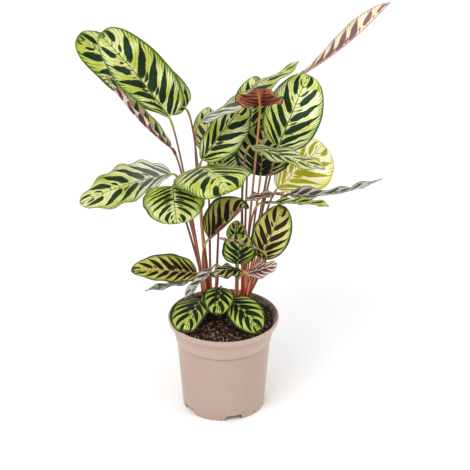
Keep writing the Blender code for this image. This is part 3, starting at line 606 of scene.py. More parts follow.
# %% The leaves
# The values that a leaf shares with the plain leaf are left out
LEAVES = [
    leaf("high_left_front", "left", neck=(169.3, 117.8, 0.03), tip=(99.5, 34, 0.005),
         face=(-0.12, -0.75, 0.6), width=0.067, uneven=0.12, blunt=(0.6, 0.32), broadest=(0.6, 0.36),
         sway=0.003, fold=(36, 0), curl=(-16, -6), wave=(0.0016, 3.2, 0.1), blotches=6),
    leaf("high_left_back", "left", neck=(185.5, 108.5, 0.088), tip=(77, 37, 0.082), face=(0, -0.8, 0.6),
         width=0.064, uneven=-0.06, blunt=(0.42, 0.34), broadest=(0.5, 0.38), arch=0.004, sway=0.001,
         wave=(0.002, 3, 0.3), blotches=6),
    leaf("high_left_folded", "left", neck=(171, 147.5, 0.046), tip=(106, 76, 0.03),
         face=(0.63, 0.12, 0.74), width=0.031, blunt=0.5, arch=-0.006, fold=(36, 62),
         wave=(0.002, 3, 0.2), blotches=6, upper="cream", under="pink"),
    leaf("left_wavy", "left", neck=(172, 174, 0.019), tip=(79.5, 203.5, -0.022), face=(0.1, -0.5, 0.85),
         width=0.064, uneven=0.1, blunt=(0.64, 0.6), broadest=(0.6, 0.38), arch=0.009, fold=(2, 0),
         curl=(20, -32), wave=(0.0022, 4, 0.1), blotches=6, upper="silvered"),
    leaf("centre_broad", "left", neck=(200, 166.5, 0.006), tip=(226.5, 183, -0.072),
         face=(-0.1, -0.24, 0.96), width=0.098, blunt=0.3, broadest=0.5, arch=0.002, fold=(-10, 4),
         curl=(-16, -12), roll=(80, 0.62, 1), wave=(0.0008, 2.5, 0.6), under="pink"),
    leaf("left_drooping", "left", neck=(173, 186, -0.022), tip=(177, 224, -0.06),
         face=(-0.12, -0.45, 0.85), width=0.076, blunt=(0.36, 0.44), arch=0.007, fold=(4, 14),
         wave=(0.0025, 4, 0.4), blotches=7, under="pink"),
    leaf("centre_upright", "left", neck=(202, 160, 0.026), tip=(245.5, 104, 0.066),
         face=(-0.1, -0.65, 0.75), width=0.052, uneven=0.22, arch=0.004, fold=(50, 6),
         wave=(0.002, 3, 0.4), upper="bright"),
    leaf("centre_pale", "left", neck=(208, 153, 0.088), tip=(208, 107, 0.106), face=(-0.2, -0.8, 0.5),
         width=0.038, arch=0.002, wave=(0.002, 3, 0.2), blotches=4, upper="cream"),
    leaf("top_reaching", "left", neck=(200, 121.5, 0.016), tip=(299, 61, 0.044),
         face=(-0.45, 0.08, 0.9), width=0.054, uneven=0.2, blunt=0.66, arch=0.001, fold=-8,
         wave=(0.002, 3.5, 0.3), blotches=7, upper="silvered"),
    leaf("top_rear", "right", neck=(249, 134, 0.078), tip=(256.5, 76, 0.096), face=(-0.1, -0.7, 0.6),
         width=0.048, arch=0.004, wave=(0.002, 3, 0.2), blotches=4),
    leaf("top_maroon", "right", neck=(260, 105.5, 0.002), tip=(257.5, 88.5, -0.05),
         face=(0, 0.64, 0.77), width=0.06, arch=0.004, fold=-14, wave=(0.003, 2.5, 0.2),
         under="maroon"),
    leaf("high_right", "right", neck=(278.5, 146, 0.014), tip=(308, 74.5, 0.044),
         face=(0.05, -0.75, 0.6), width=0.07, uneven=0.06, blunt=(0.46, 0.38), broadest=0.43,
         arch=0.005, wave=(0.0015, 2.5, 0.1), upper="bright"),
    leaf("top_right_folded", "right", neck=(293, 79, 0.074), tip=(390, 1.5, 0.046),
         face=(-0.5, 0.6, 0.6), width=0.034, blunt=0.8, broadest=0.64, arch=-0.008, fold=76,
         wave=(0.003, 5, 0.1), blotches=8, under="banded"),
    leaf("centre_shaded", "right", neck=(260.5, 176, 0.034), tip=(266, 122, 0.064),
         face=(0, -0.6, 0.75), width=0.072, blunt=0.48, broadest=0.42, arch=0.006, fold=-8,
         wave=(0.002, 3, 0.2), upper="shaded"),
    leaf("right_edge_on", "right", neck=(252, 146, -0.003), tip=(325, 169, -0.04),
         face=(-0.1, 0.16, 0.95), width=0.054, fold=(0, 4), wave=(0.0025, 2.5, 0.5), blotches=6,
         upper="cream"),
    leaf("right_yellow", "right", neck=(277.6, 188.5, 0.036), tip=(323.5, 144, 0.076),
         face=(0.35, -0.7, 0.6), width=0.067, uneven=0.2, blunt=0.42, broadest=(0.5, 0.6), arch=0.005,
         fold=(12, -4), wave=(0.002, 3, 0.2), upper="backlit"),
    leaf("far_right_twisted", "right", neck=(290, 194.5, 0.004), tip=(382, 178.5, 0.01),
         face=(0.1, 0.3, 0.95), width=0.034, broadest=0.36, arch=-0.008, fold=12, twist=60,
         wave=(0.003, 2.5, 0.1), blotches=6, upper="silver", under="silver"),
    leaf("centre_folded", "left", neck=(209, 239, -0.036), tip=(247, 203, -0.024),
         face=(-0.3, -0.6, 0.75), width=0.068, uneven=-0.05, blunt=0.5, arch=-0.003, fold=(4, 64),
         wave=(0.002, 2, 0.3), upper="olive", under="maroon"),
    leaf("low_right", "right", neck=(261, 258.5, -0.021), tip=(283.5, 205.5, -0.006),
         face=(0.05, -0.85, 0.5), width=0.048, blunt=0.5, arch=0.004, wave=(0.0015, 3, 0.3),
         upper="olive", under="pink"),
    leaf("low_centre_small", "right", neck=(236.5, 243, 0.001), tip=(236.5, 220.5, 0.006),
         face=(0, -0.8, 0.6), width=0.026, fold=12, wave=(0.001, 2, 0.3), blotches=4, upper="bright"),
    leaf("low_centre", "right", neck=(238, 264, -0.024), tip=(240.5, 232, -0.015), face=(0, -0.7, 0.7),
         width=0.044, arch=0.003, fold=20, upper="deep", under="pink"),
    leaf("low_left", "left", neck=(197, 273, 0.01), tip=(131, 270.5, -0.014), face=(0.05, -0.65, 0.75),
         width=0.038, uneven=0.15, blunt=0.52, broadest=0.42, arch=0.005, fold=6,
         wave=(0.0015, 3.5, 0.6), blotches=7, upper="olive"),
    leaf("low_left_narrow", "left", neck=(196, 279, 0.024), tip=(145, 290.5, -0.008),
         face=(0, 0.15, 0.98), width=0.02, fold=6, wave=(0.0015, 2.5, 0.2), upper="silver",
         under="silver"),
    leaf("low_dark", "right", neck=(243, 271, -0.032), tip=(211, 276, -0.047), face=(0, 0.05, 0.98),
         width=0.039, arch=0.006, fold=-6, blotches=4, upper="shaded", under="pink"),
    leaf("low_right_pink", "right", neck=(247, 272, -0.03), tip=(277, 264, -0.022),
         face=(-0.1, 0.8, 0.45), width=0.036, fold=-8, wave=(0.0015, 2, 0.2), upper="deep",
         under="pink"),
    leaf("soil_left", "left", neck=(202.5, 299, 0.01), tip=(184.5, 333, -0.048),
         face=(-0.3, -0.45, 0.8), width=0.05, uneven=0.12, blunt=0.4, arch=0.007, fold=4,
         wave=(0.001, 2, 0.2), upper="deep", under="pink"),
    leaf("soil_middle", "left", neck=(221, 287.5, 0), tip=(216.5, 315.5, -0.034), face=(0, -0.55, 0.8),
         width=0.04, arch=0.006, wave=(0.001, 2, 0.2), blotches=4, upper="deep", under="pink"),
    leaf("soil_right", "right", neck=(231, 299.5, -0.009), tip=(260, 333, -0.044),
         face=(0.1, -0.55, 0.8), width=0.046, arch=0.006, wave=(0.001, 2, 0.2), upper="deep",
         under="pink"),
    leaf("right_narrow", "right", neck=(262, 203, -0.022), tip=(329, 206, -0.034),
         face=(0.1, 0.2, 0.98), width=0.03, broadest=0.6, arch=0.002, fold=14, wave=(0.002, 3.5, 0.4),
         blotches=6),
    leaf("centre_pink", "right", neck=(280, 193, -0.002), tip=(247, 201, -0.04), face=(0, -0.3, -0.95),
         width=0.032, fold=-10, wave=(0.0025, 3, 0.4), under="pink"),
    leaf("low_centre_narrow", "right", neck=(262, 251, -0.035), tip=(217, 238.5, -0.048),
         face=(0, -0.15, -0.95), width=0.016, fold=-20, wave=(0.001, 3, 0.4), upper="deep",
         under="pink"),
    leaf("low_left_silver", "left", neck=(213, 267, -0.018), tip=(185, 298, -0.05),
         face=(-0.6, -0.25, 0.75), width=0.02, fold=20, wave=(0.0015, 2, 0.4), blotches=4,
         upper="silver", under="silver"),
    leaf("rear_left", "left", neck=(222, 172, 0.084), tip=(232, 140, 0.15), face=(0, 0.3, 0.95),
         width=0.058, arch=0.008, wave=(0.002, 3, 0.4), under="pink"),
    leaf("rear_right", "right", neck=(288, 180, 0.07), tip=(300, 152, 0.15), face=(0.1, 0.3, 0.95),
         width=0.062, arch=0.008, wave=(0.002, 3, 0.4), under="pink"),
    leaf("rear_centre", "right", neck=(243, 176, 0.084), tip=(256, 148, 0.165), face=(0, 0.3, 0.95),
         width=0.058, arch=0.01, wave=(0.002, 3, 0.4), under="pink"),
    leaf("rear_low_right", "right", neck=(268, 248, 0.062), tip=(279, 222, 0.128),
         face=(0.1, 0.3, 0.95), width=0.04, arch=0.006, wave=(0.002, 3, 0.4), blotches=4, upper="deep",
         under="pink"),
    leaf("rear_low_left", "left", neck=(186, 212, 0.072), tip=(166, 194, 0.13), face=(-0.1, 0.3, 0.95),
         width=0.05, arch=0.006, wave=(0.002, 3, 0.4), under="pink"),
]

print(len(LEAVES), "leaves")

# %% [markdown]
# The midrib runs from neck to tip, arched and swayed, and carries a frame of three directions:
# along, up and to the right. A cross-section of two halves is swept along it.

# %% The rules of a leaf's form
NECK_HALF_WIDTH = 0.0013
TIP_HALF_WIDTH = 0.0005
NECK_FADE = 0.14
TIP_FADE = 0.08
CURL_POWER = 1.7
WAVE_HALVES_APART = 0.27
SPINE_STEPS = 120
SECTION_STEPS = 24


def smooth(share):
    """0 below 0, 1 above 1, and an even ease between them."""
    share = np.clip(share, 0.0, 1.0)
    return share * share * (3.0 - 2.0 * share)


def unit(vector):
    return vector / np.linalg.norm(vector, axis=-1, keepdims=True)


def turn(first, second, angle):
    """Two square directions turned in their plane, from the first towards the second."""
    cosine, sine = np.cos(angle)[:, None], np.sin(angle)[:, None]
    return first * cosine + second * sine, second * cosine - first * sine


def travelled(speed, steps):
    """How far something has come at each of its rows, which are even steps from 0 to 1."""
    middle = 0.5 * (speed[1:] + speed[:-1]) / steps
    return np.concatenate([np.zeros_like(speed[:1]), np.cumsum(middle, axis=0)])


def half_width(form, s, side):
    """The left (-1) or right (1) half's width at the shares s of the length: a rounded oval."""
    half = 0 if side < 0 else 1
    skewed = np.clip(s, 0.0, 1.0) ** (math.log(0.5) / math.log(form["broadest"][half]))
    oval = np.sin(np.pi * skewed) ** form["blunt"][half]
    widest = 0.5 * form["width"] * (1.0 + side * form["uneven"])
    return np.maximum(widest * oval, NECK_HALF_WIDTH * (1.0 - s) + TIP_HALF_WIDTH * s)


def width_at(form, s, v):
    """The width of the half that each v lies in, for arrays of s and v of one shape."""
    return np.where(v < 0.0, half_width(form, s, -1), half_width(form, s, 1))


def midrib(form):
    """Places, tangents, upper normals and right-hand directions along the midrib."""
    s = np.linspace(0.0, 1.0, SPINE_STEPS + 1)
    chord = form["tip"] - form["neck"]
    length = np.linalg.norm(chord)
    forward = chord / length
    upward = unit(form["face"] - np.dot(form["face"], forward) * forward)
    rightward = np.cross(forward, upward)
    slope = 4.0 - 8.0 * s
    run = length * forward + np.outer(form["arch"] * slope, upward)
    run = run + np.outer(form["sway"] * slope, rightward)
    step = np.linalg.norm(run, axis=1, keepdims=True)
    tangent = run / step
    normal = unit(upward - (tangent @ upward)[:, None] * tangent)
    angle, start, stop = form["roll"]
    bend = np.radians(angle) * smooth((s - start) / (stop - start))
    normal, tangent = turn(normal, tangent, bend)
    right = np.cross(tangent, normal)
    right, normal = turn(right, normal, np.radians(form["twist"]) * (s - 0.5))
    return form["neck"] + travelled(tangent * step, SPINE_STEPS), tangent, normal, right


def at_shares(values, s):
    """Values kept at even shares of the length, read at the shares s."""
    grid = np.linspace(0.0, 1.0, SPINE_STEPS + 1)
    return np.stack([np.interp(s, grid, values[:, axis]) for axis in range(3)], axis=-1)


def half_section(t, fold, curl):
    """Sideways run, rise and slope of half a cross-section of unit width, at the shares t."""
    grid = np.linspace(0.0, 1.0, SECTION_STEPS + 1)
    slopes = fold[:, None] + curl[:, None] * grid ** CURL_POWER
    run, rise = (np.stack([np.interp(t, grid, row) for row in travelled(part.T, SECTION_STEPS).T])
                 for part in (np.cos(slopes), np.sin(slopes)))
    return run, rise, fold[:, None] + curl[:, None] * t ** CURL_POWER


# %% [markdown]
# The upper side of this leaf isn't flat: it stands up in low ridges along its side veins, and
# the midrib lies in a groove. The ridges catch the light in streaks, so they are geometry. They
# follow the same rule as the painted blotches, which is why the rule is written out here: it
# counts the side veins from neck to tip, closer together near the neck.

# %% The side veins
VEIN_START = 0.45
VEIN_RANGE = math.sqrt(1.0 + VEIN_START) - math.sqrt(VEIN_START)
VEIN_BEND = 1.25
HALVES_APART = 0.25
RIDGE = 0.0005
GROOVE = 0.0004
GROOVE_HALF_WIDTH = 0.0012


def slant(form):
    """How far a side vein runs forward on its way to the margin, as a share of the length."""
    length = np.linalg.norm(form["tip"] - form["neck"])
    return float(np.clip(0.57 * form["width"] / length, 0.15, 0.42))


def vein_count(form, s, v):
    """Counts the side veins from the neck. A large blotch lies at each half number."""
    reach = slant(form) * np.abs(v) ** VEIN_BEND
    along = np.sqrt(np.maximum(s - reach + VEIN_START, 0.0)) - math.sqrt(VEIN_START)
    return form["blotches"] / VEIN_RANGE * along + 1.0 + HALVES_APART * np.sign(v)


def relief(form, s, v):
    """Height of the ridges and of the midrib's groove above the smooth blade."""
    s, v = np.meshgrid(s, v, indexing="ij")
    count = vein_count(form, s, v)
    crest = (1.0 - np.abs(2.0 * (count - np.floor(count)) - 1.0)) ** 1.2
    across = np.abs(v)
    inside = smooth(across / 0.12) * smooth((0.96 - across) / 0.3) * smooth(s / 0.1)
    ridge = RIDGE * crest * inside * smooth((0.98 - s) / 0.15)
    wide = across * width_at(form, s, v)
    return ridge - GROOVE * np.exp(-(wide / GROOVE_HALF_WIDTH) ** 2) * smooth(s / 0.05)


def blade_points(form, s, v):
    """Points of the upper side, at shares s of the length and v from -1, left, to 1, right."""
    places, _, normal, right = (at_shares(values, s) for values in midrib(form))
    tip_fade = smooth((1.0 - s) / TIP_FADE)
    fade = smooth(s / NECK_FADE) * tip_fade
    height, count, start = form["wave"]
    bumps = relief(form, s, v)
    points = np.zeros((len(s), len(v), 3))
    for index, side in enumerate((-1, 1)):
        columns = np.where(v * side >= 0.0)[0]
        t = np.abs(v[columns])
        half = half_width(form, s, side)[:, None]
        fold = np.radians(form["fold"][index]) * tip_fade
        curl = np.radians(form["curl"][index]) * fade
        across, rise, slope = half_section(t, fold, curl)
        phase = 2.0 * np.pi * (count * s + start + WAVE_HALVES_APART * side)
        ripple = height * np.outer(np.sin(phase) * fade, t ** 2) + bumps[:, columns]
        across = across * half - ripple * np.sin(slope)
        rise = rise * half + ripple * np.cos(slope)
        offset = side * across[..., None] * right[:, None] + rise[..., None] * normal[:, None]
        points[:, columns] = places[:, None] + offset
    return points


longest = max(LEAVES, key=lambda form: np.linalg.norm(form["tip"] - form["neck"]))
print("longest leaf:", longest["name"])

# %% [markdown]
# ## The leaf's two skins
# A calathea leaf is satin: a thin wax layer over soft cells. Its pattern has an order that a
# picture would only copy, so nodes build it from the same count of side veins as the ridges. It
# then fits every leaf and stays sharp. First comes the place of a point in that order.

# %% Where a point lies in the leaf's pattern
def pattern_grid(tree):
    """Where a point lies: along, across, and between which side veins."""
    unwrapped = node(tree, "SeparateXYZ", node(tree, "UVMap", uv_map="blade"))
    s = unwrapped.outputs["Y"]
    v = maths(tree, "MULTIPLY_ADD", unwrapped.outputs["X"], 2.0, -1.0)
    side = maths(tree, "SIGN", v)
    across = maths(tree, "ABSOLUTE", v)

    # A grown edge is never ruled: the pattern wanders by about a millimetre
    place = node(tree, "TexCoord").outputs["Object"]
    drift = node(tree, "TexNoise", place, at={"Scale": 90.0, "Detail": 2.0})
    drift = node(tree, "SeparateColor", drift.outputs["Color"])
    wide = maths(tree, "ADD", across, maths(tree, "MULTIPLY_ADD", drift.outputs[0], 0.12, -0.06))
    far = maths(tree, "ADD", s, maths(tree, "MULTIPLY_ADD", drift.outputs[1], 0.05, -0.025))

    # The same count of side veins as in vein_count
    reach = maths(tree, "MULTIPLY", maths(tree, "POWER", wide, VEIN_BEND), stored(tree, "slant"))
    run = maths(tree, "ADD", maths(tree, "SUBTRACT", far, reach), VEIN_START)
    run = maths(tree, "SUBTRACT", maths(tree, "SQRT", run), math.sqrt(VEIN_START))
    count = maths(tree, "MULTIPLY_ADD", run, stored(tree, "blotches"), 1.0)
    count = maths(tree, "MULTIPLY_ADD", side, HALVES_APART, count)
    vein = maths(tree, "FLOOR", count)
    off = maths(tree, "SUBTRACT", maths(tree, "SUBTRACT", count, vein), 0.5)
    return SimpleNamespace(place=place, s=s, far=far, side=side, across=across, wide=wide,
                           count=count, vein=vein, off=off, off_size=maths(tree, "ABSOLUTE", off))


# %% [markdown]
# Each half has large dark blotches on its side veins, pointed towards the margin, and now and
# then a small round one between two of them. Every blotch hangs on the midrib by a thin stem.
# Chance sets each blotch's size, drawn from its vein, its half and its leaf.

# %% The dark blotches
LARGE_MIDDLE = 0.46
SMALL_MIDDLE = 0.20
SMALL_HALF_LENGTH = 0.11
SMALL_HALF_GIRTH = 0.12


def lot(tree, grid, number):
    """A random value and colour for this number of vein, on this half of this leaf."""
    return node(tree, "TexWhiteNoise",
                node(tree, "CombineXYZ", number, grid.side, stored(tree, "seed")))


def from_middle(tree, crosswise, lengthwise):
    """Distance from an oval's middle, in shares of its two half widths."""
    pair = node(tree, "CombineXYZ", crosswise, lengthwise, 0.0)
    return node(tree, "VectorMath", pair, operation="LENGTH").outputs["Value"]


def large_blotches(tree, grid, bold):
    """1 on an oval on each vein, narrower towards the margin and towards the leaf's tip."""
    drawn = lot(tree, grid, grid.vein).outputs["Value"]
    length = ramp(tree, drawn, 0.0, 1.0, 0.37 * bold, 0.49 * bold)
    length = maths(tree, "MULTIPLY", length, ramp(tree, grid.s, 0.45, 1.0, 1.0, 0.5))
    girth = ramp(tree, grid.s, 0.0, 0.7, 0.42 * bold, 0.31 * bold)
    girth = maths(tree, "MULTIPLY", girth, ramp(tree, grid.wide, 0.15, 0.85, 1.15, 0.42))
    crosswise = maths(tree, "DIVIDE", grid.off, girth)
    lengthwise = maths(tree, "DIVIDE", maths(tree, "SUBTRACT", grid.wide, LARGE_MIDDLE), length)
    return ramp(tree, from_middle(tree, crosswise, lengthwise), 0.97, 1.08, 1.0, 0.0)


def small_blotches(tree, grid):
    """1 on a round blotch halfway between two veins and on its stem, left out here and there."""
    between = maths(tree, "FLOOR", maths(tree, "ADD", grid.count, 0.5))
    beside = maths(tree, "SUBTRACT", grid.count, between)
    drawn = node(tree, "SeparateColor", lot(tree, grid, between).outputs["Color"])
    crosswise = maths(tree, "DIVIDE", beside, SMALL_HALF_GIRTH)
    lengthwise = maths(tree, "SUBTRACT", grid.wide, SMALL_MIDDLE)
    lengthwise = maths(tree, "DIVIDE", lengthwise, SMALL_HALF_LENGTH)
    size = ramp(tree, drawn.outputs[0], 0.0, 1.0, 0.55, 1.25)
    away = maths(tree, "DIVIDE", from_middle(tree, crosswise, lengthwise), size)
    stem = ramp(tree, maths(tree, "ABSOLUTE", beside), 0.012, 0.03, 1.0, 0.0)
    stem = maths(tree, "MULTIPLY", stem, ramp(tree, grid.wide, 0.15, 0.2, 1.0, 0.0))
    marked = maths(tree, "MAXIMUM", ramp(tree, away, 0.9, 1.15, 1.0, 0.0), stem)
    past_base = maths(tree, "GREATER_THAN", grid.s, 0.2)
    there = maths(tree, "MULTIPLY", maths(tree, "GREATER_THAN", drawn.outputs[1], 0.28), past_base)
    return maths(tree, "MULTIPLY", marked, there)


def dark_marks(tree, grid, bold):
    """1 on every blotch and stem."""
    stem = ramp(tree, grid.off_size, 0.018, 0.04, 1.0, 0.0)
    stem = maths(tree, "MULTIPLY", stem, ramp(tree, grid.wide, 0.38, 0.45, 1.0, 0.0))
    dark = maths(tree, "MAXIMUM", large_blotches(tree, grid, bold), stem)
    return maths(tree, "MAXIMUM", dark, small_blotches(tree, grid))


# %% [markdown]
# Fine green lines run in from the dark margin. The colours then lie one over the other: ground,
# lines, blotches, margin and midrib. The underside repeats the same marks in the pigment that
# shows there, pink-purple or maroon.

# %% A leaf's skin
LINES_TO_A_VEIN = 4.0
HAIRS_TO_A_VEIN = 12.0


def green_lines(tree, grid):
    """Fine lines that widen towards the margin, and the line in which a large blotch runs on."""
    fine = maths(tree, "FRACT", maths(tree, "MULTIPLY_ADD", grid.count, LINES_TO_A_VEIN, 0.5))
    fine = maths(tree, "ABSOLUTE", maths(tree, "SUBTRACT", fine, 0.5))
    hairline = ramp(tree, fine, 0.03, 0.14, 0.6, 0.0)
    widen = ramp(tree, grid.wide, 0.6, 1.0, -0.08, 0.30)
    widen.interpolation_type = "SMOOTHSTEP"
    lines = ramp(tree, maths(tree, "SUBTRACT", fine, widen), -0.06, 0.14, 0.9, 0.0)
    tail = ramp(tree, grid.off_size, 0.05, 0.12, 1.0, 0.0)
    tail = maths(tree, "MULTIPLY", tail, ramp(tree, grid.wide, 0.5, 0.6, 0.0, 1.0))
    return maths(tree, "MAXIMUM", maths(tree, "MAXIMUM", lines, hairline), tail)


def leaf_skin(name, tones, margin_from=0.945, roughness=0.38, bold=1.0, painted_glare=None):
    """A satin leaf skin in seven tones.

    They belong to the ground, the paler ground, the lines, the blotches, the glossy blotches,
    the margin and the midrib. bold widens the blotches, and painted_glare is the pale colour of a
    painted reflection that lies over the half by the neck.
    """
    ground, lit, line, blotch, gloss_blotch, margin, rib = tones.split()
    material, tree, shader = new_finish(name, roughness, ior=1.42)
    shader.inputs["Specular IOR Level"].default_value = 0.16
    grid = pattern_grid(tree)
    edge = maths(tree, "MAXIMUM", grid.wide, maths(tree, "SUBTRACT", grid.s, 0.05))
    border = ramp(tree, edge, margin_from - 0.03, margin_from + 0.02, 0.0, 1.0)
    from_rib = maths(tree, "MULTIPLY", grid.across, stored(tree, "half_mm"))
    from_rib = maths(tree, "DIVIDE", from_rib, ramp(tree, grid.s, 0.0, 1.0, 1.1, 0.35))
    clouds = node(tree, "TexNoise", grid.place, at={"Scale": 34.0, "Detail": 2.0})
    cloud = ramp(tree, clouds, 0.42, 0.64, 0.0, 1.0)

    # The colours, one over the other
    skin = blend(tree, cloud, ground, lit)
    skin = blend(tree, ramp(tree, from_rib, 1.2, 3.2, 0.7, 0.0), skin, lit)
    skin = blend(tree, green_lines(tree, grid), skin, line)
    mark = blend(tree, cloud, blotch, gloss_blotch)
    # Painted reflection: silver is the share of a pale glare, strong by the neck, laid over the ground
    # and faintly over the blotches
    if painted_glare:
        silver = ramp(tree, grid.far, 0.12, 0.52, 0.82, 0.0)
        skin = blend(tree, silver, skin, painted_glare)
        mark = blend(tree, maths(tree, "MULTIPLY", silver, 0.2), mark, painted_glare)
    skin = blend(tree, dark_marks(tree, grid, bold), skin, mark)
    skin = blend(tree, border, skin, margin)
    skin = blend(tree, ramp(tree, from_rib, 0.7, 1.1, 1.0, 0.0), skin, rib)
    fill(tree, shader.inputs["Base Color"], skin)

    # Hairlines about 1.5 mm apart give the silky streaks
    hair = maths(tree, "MULTIPLY", grid.count, HAIRS_TO_A_VEIN)
    roughen(tree, shader, maths(tree, "PINGPONG", hair, 1.0), 0.35, 0.0003)
    satin = ramp(tree, clouds, 0.3, 0.7, roughness + 0.05, roughness - 0.05)
    fill(tree, shader.inputs["Roughness"], satin)
    return material


# %% The skins
SKINS = {}
for name, tones, more in (
    ("satin_leaf_fresh", "#afb84c #dcdea0 #4c6618 #10240a #1b381c #42681a #5e6820",
     {"margin_from": 0.93}),
    ("satin_leaf_bright", "#c2cb5a #eaecb8 #567520 #10260e #1c3a22 #33562a #66742a", {}),
    ("satin_leaf_deep", "#a8b448 #d2d880 #3c5c18 #0c1c0a #162c16 #1d3812 #485a20",
     {"margin_from": 0.885, "bold": 1.2}),
    ("satin_leaf_olive", "#b0b048 #d6d384 #5c5c22 #1c140c #2c2016 #3a4a1a #8a6c4c",
     {"margin_from": 0.9, "bold": 1.1}),
    ("satin_leaf_shaded", "#9ea04e #cfca90 #3d4a1e #0b1207 #141e0e #22331a #5c5a2c",
     {"margin_from": 0.88, "bold": 1.3}),
    ("satin_leaf_backlit", "#f4f0b4 #fffdea #c6be20 #96960e #b2ac14 #c4bc08 #ccb40c", {}),
    # This green skin carries a painted reflection over the half by the neck
    ("satin_leaf_silvered", "#a8b04c #d0d28e #4c6420 #15240e #22381e #8f8a5a #7c7c50",
     {"painted_glare": "#dcdad2"}),
    # The silver skin paints the satin sheen of these leaves into its pale grey ground, under their own
    # blotches
    ("satin_leaf_silver", "#b5b59e #d3d1c6 #7c7c66 #3a302e #5a4e4e #5f6650 #85806c", {}),
    ("satin_leaf_cream", "#ced078 #e4e2b6 #74883a #24401f #3c5a34 #5c7030 #8c883c", {}),
    ("leaf_underside_pale", "#bebb98 #dad4bc #86846a #4c3c3e #6c565a #7a7a54 #a89672",
     {"roughness": 0.5}),
    ("leaf_underside_pink", "#d2bfa4 #ebdfc8 #8f625c #4c262e #6a3c44 #7a5046 #b4927a",
     {"roughness": 0.5, "bold": 1.25}),
    ("leaf_underside_banded", "#e2d6b0 #f0e8cc #b79a8c #7c5a5c #8f6c70 #a98a84 #b48f8c",
     {"roughness": 0.5, "bold": 1.12}),
    ("leaf_underside_maroon", "#6a2620 #a05a3e #d09a62 #38100f #5a2022 #541c1c #d08a50",
     {"roughness": 0.46}),
):
    SKINS[name.split("_")[-1]] = leaf_skin(name, tones, **more)
print(len(SKINS), "leaf skins")

# %% [markdown]
# ## The blades
# A blade starts as a flat grid. Hand tools can't give 37 different bends with ridges, so the
# grid's points are carried to the leaf's own rules. The grid is closer near the midrib and at
# both ends, where the form turns fastest. Solidify then gives the blade its thickness, and the
# points below the midrib are pushed out to make the keel that one feels under a real leaf.

# %% Make one blade
BLADE_THICKNESS = 0.0005
LARGE_BLADE = 0.075
KEEL = 0.0009
KEEL_HALF_WIDTH = 0.0011


def coordinates(mesh):
    """The places of a mesh's points, one row each."""
    flat = np.empty(len(mesh.vertices) * 3)
    mesh.vertices.foreach_get("co", flat)
    return flat.reshape(-1, 3)


def keep_numbers(mesh, **numbers):
    """Store numbers on a mesh's points, for the shaders to read by their names."""
    for name, values in numbers.items():
        values = np.broadcast_to(values, len(mesh.vertices)).astype(float)
        mesh.attributes.new(name, "FLOAT", "POINT").data.foreach_set("value", values)


def model_blade(form, seed):
    """A flat grid carried to a leaf's form and made solid. seed draws the sizes of its blotches."""
    large = np.linalg.norm(form["tip"] - form["neck"]) > LARGE_BLADE
    rows, columns = (84, 36) if large else (60, 30)
    blade = added(bpy.ops.mesh.primitive_grid_add, x_subdivisions=columns, y_subdivisions=rows,
                  size=2.0)
    mesh = blade.data
    share = (coordinates(mesh) + 1.0) / 2.0
    column = np.rint(share[:, 0] * columns).astype(int)
    row = np.rint(share[:, 1] * rows).astype(int)
    even = np.linspace(0.0, 1.0, rows + 1)
    s = 0.45 * even + 0.55 * (0.5 - 0.5 * np.cos(np.pi * even))
    v = np.linspace(-1.0, 1.0, columns + 1)
    v = np.sign(v) * np.abs(v) ** 1.3
    mesh.vertices.foreach_set("co", blade_points(form, s, v)[row, column].ravel())
    s, v = s[row], v[column]

    unwrapped = mesh.uv_layers[0]
    unwrapped.name = "blade"
    corners = np.empty(len(mesh.loops), int)
    mesh.loops.foreach_get("vertex_index", corners)
    flat_place = np.stack([(v + 1.0) / 2.0, s], axis=-1)[corners]
    unwrapped.data.foreach_set("uv", flat_place.ravel())
    half = width_at(form, s, v)
    keep_numbers(mesh, half_mm=half * 1000.0, blotches=form["blotches"] / VEIN_RANGE,
                 slant=slant(form), seed=seed)

    mesh.materials.append(SKINS[form["upper"]])
    mesh.materials.append(SKINS[form["under"]])
    apply_modifier(blade, "SOLIDIFY", thickness=BLADE_THICKNESS, offset=-1.0, material_offset=1,
                   material_offset_rim=1)
    both = coordinates(mesh)
    top, low = both[:len(s)], both[len(s):]
    keel = KEEL * np.exp(-(v * half / KEEL_HALF_WIDTH) ** 2) * (1.0 - 0.8 * s)
    low += unit(low - top) * keel[:, None]
    mesh.vertices.foreach_set("co", both.ravel())
    mesh.update()
    return blade


# %% Make all the blades
slots = {part["node"]: part["material_slot"] for part in frame["record"]["subparts"]}
for seed, form in enumerate(LEAVES, start=3):
    finish_piece(model_blade(form, seed), form["name"] + "_blade", slots[form["name"]],
                 form["name"], sharp_from=50.0)

# %% [markdown]
# ## The stalks
# Each leaf stands on its own stalk, which rises from a sheath in the crown and ends in a thicker
# knee below the blade, where the leaf turns with the light. One straight stalk is modelled and
# cut into rings, and each copy is bent along its own path. The paths leave the crown as a fan,
# so that the stalks stand beside each other as in the real clump.

# %% The path of a stalk
CROWN_SPREAD = 0.0115
STALK_FOOT_RADIUS = 0.0019
STALK_TOP_RADIUS = 0.0012
STALK_SINK = 0.006
STALK_RISE = 0.55
STALK_ARRIVAL = 0.06
STALK_FAN = 0.6
STALK_RINGS = 40
STALK_SIDES = 10
STALK_OVERLAP = 0.004
SHEATH_REACH = 0.030
SHEATH_SWELL = 0.0009
KNEE_LENGTH = 0.013
KNEE_SWELL = 0.00045
MAROON_SWELL = 2.2
END_RADIUS = 0.0007
END_DROP = 0.0006


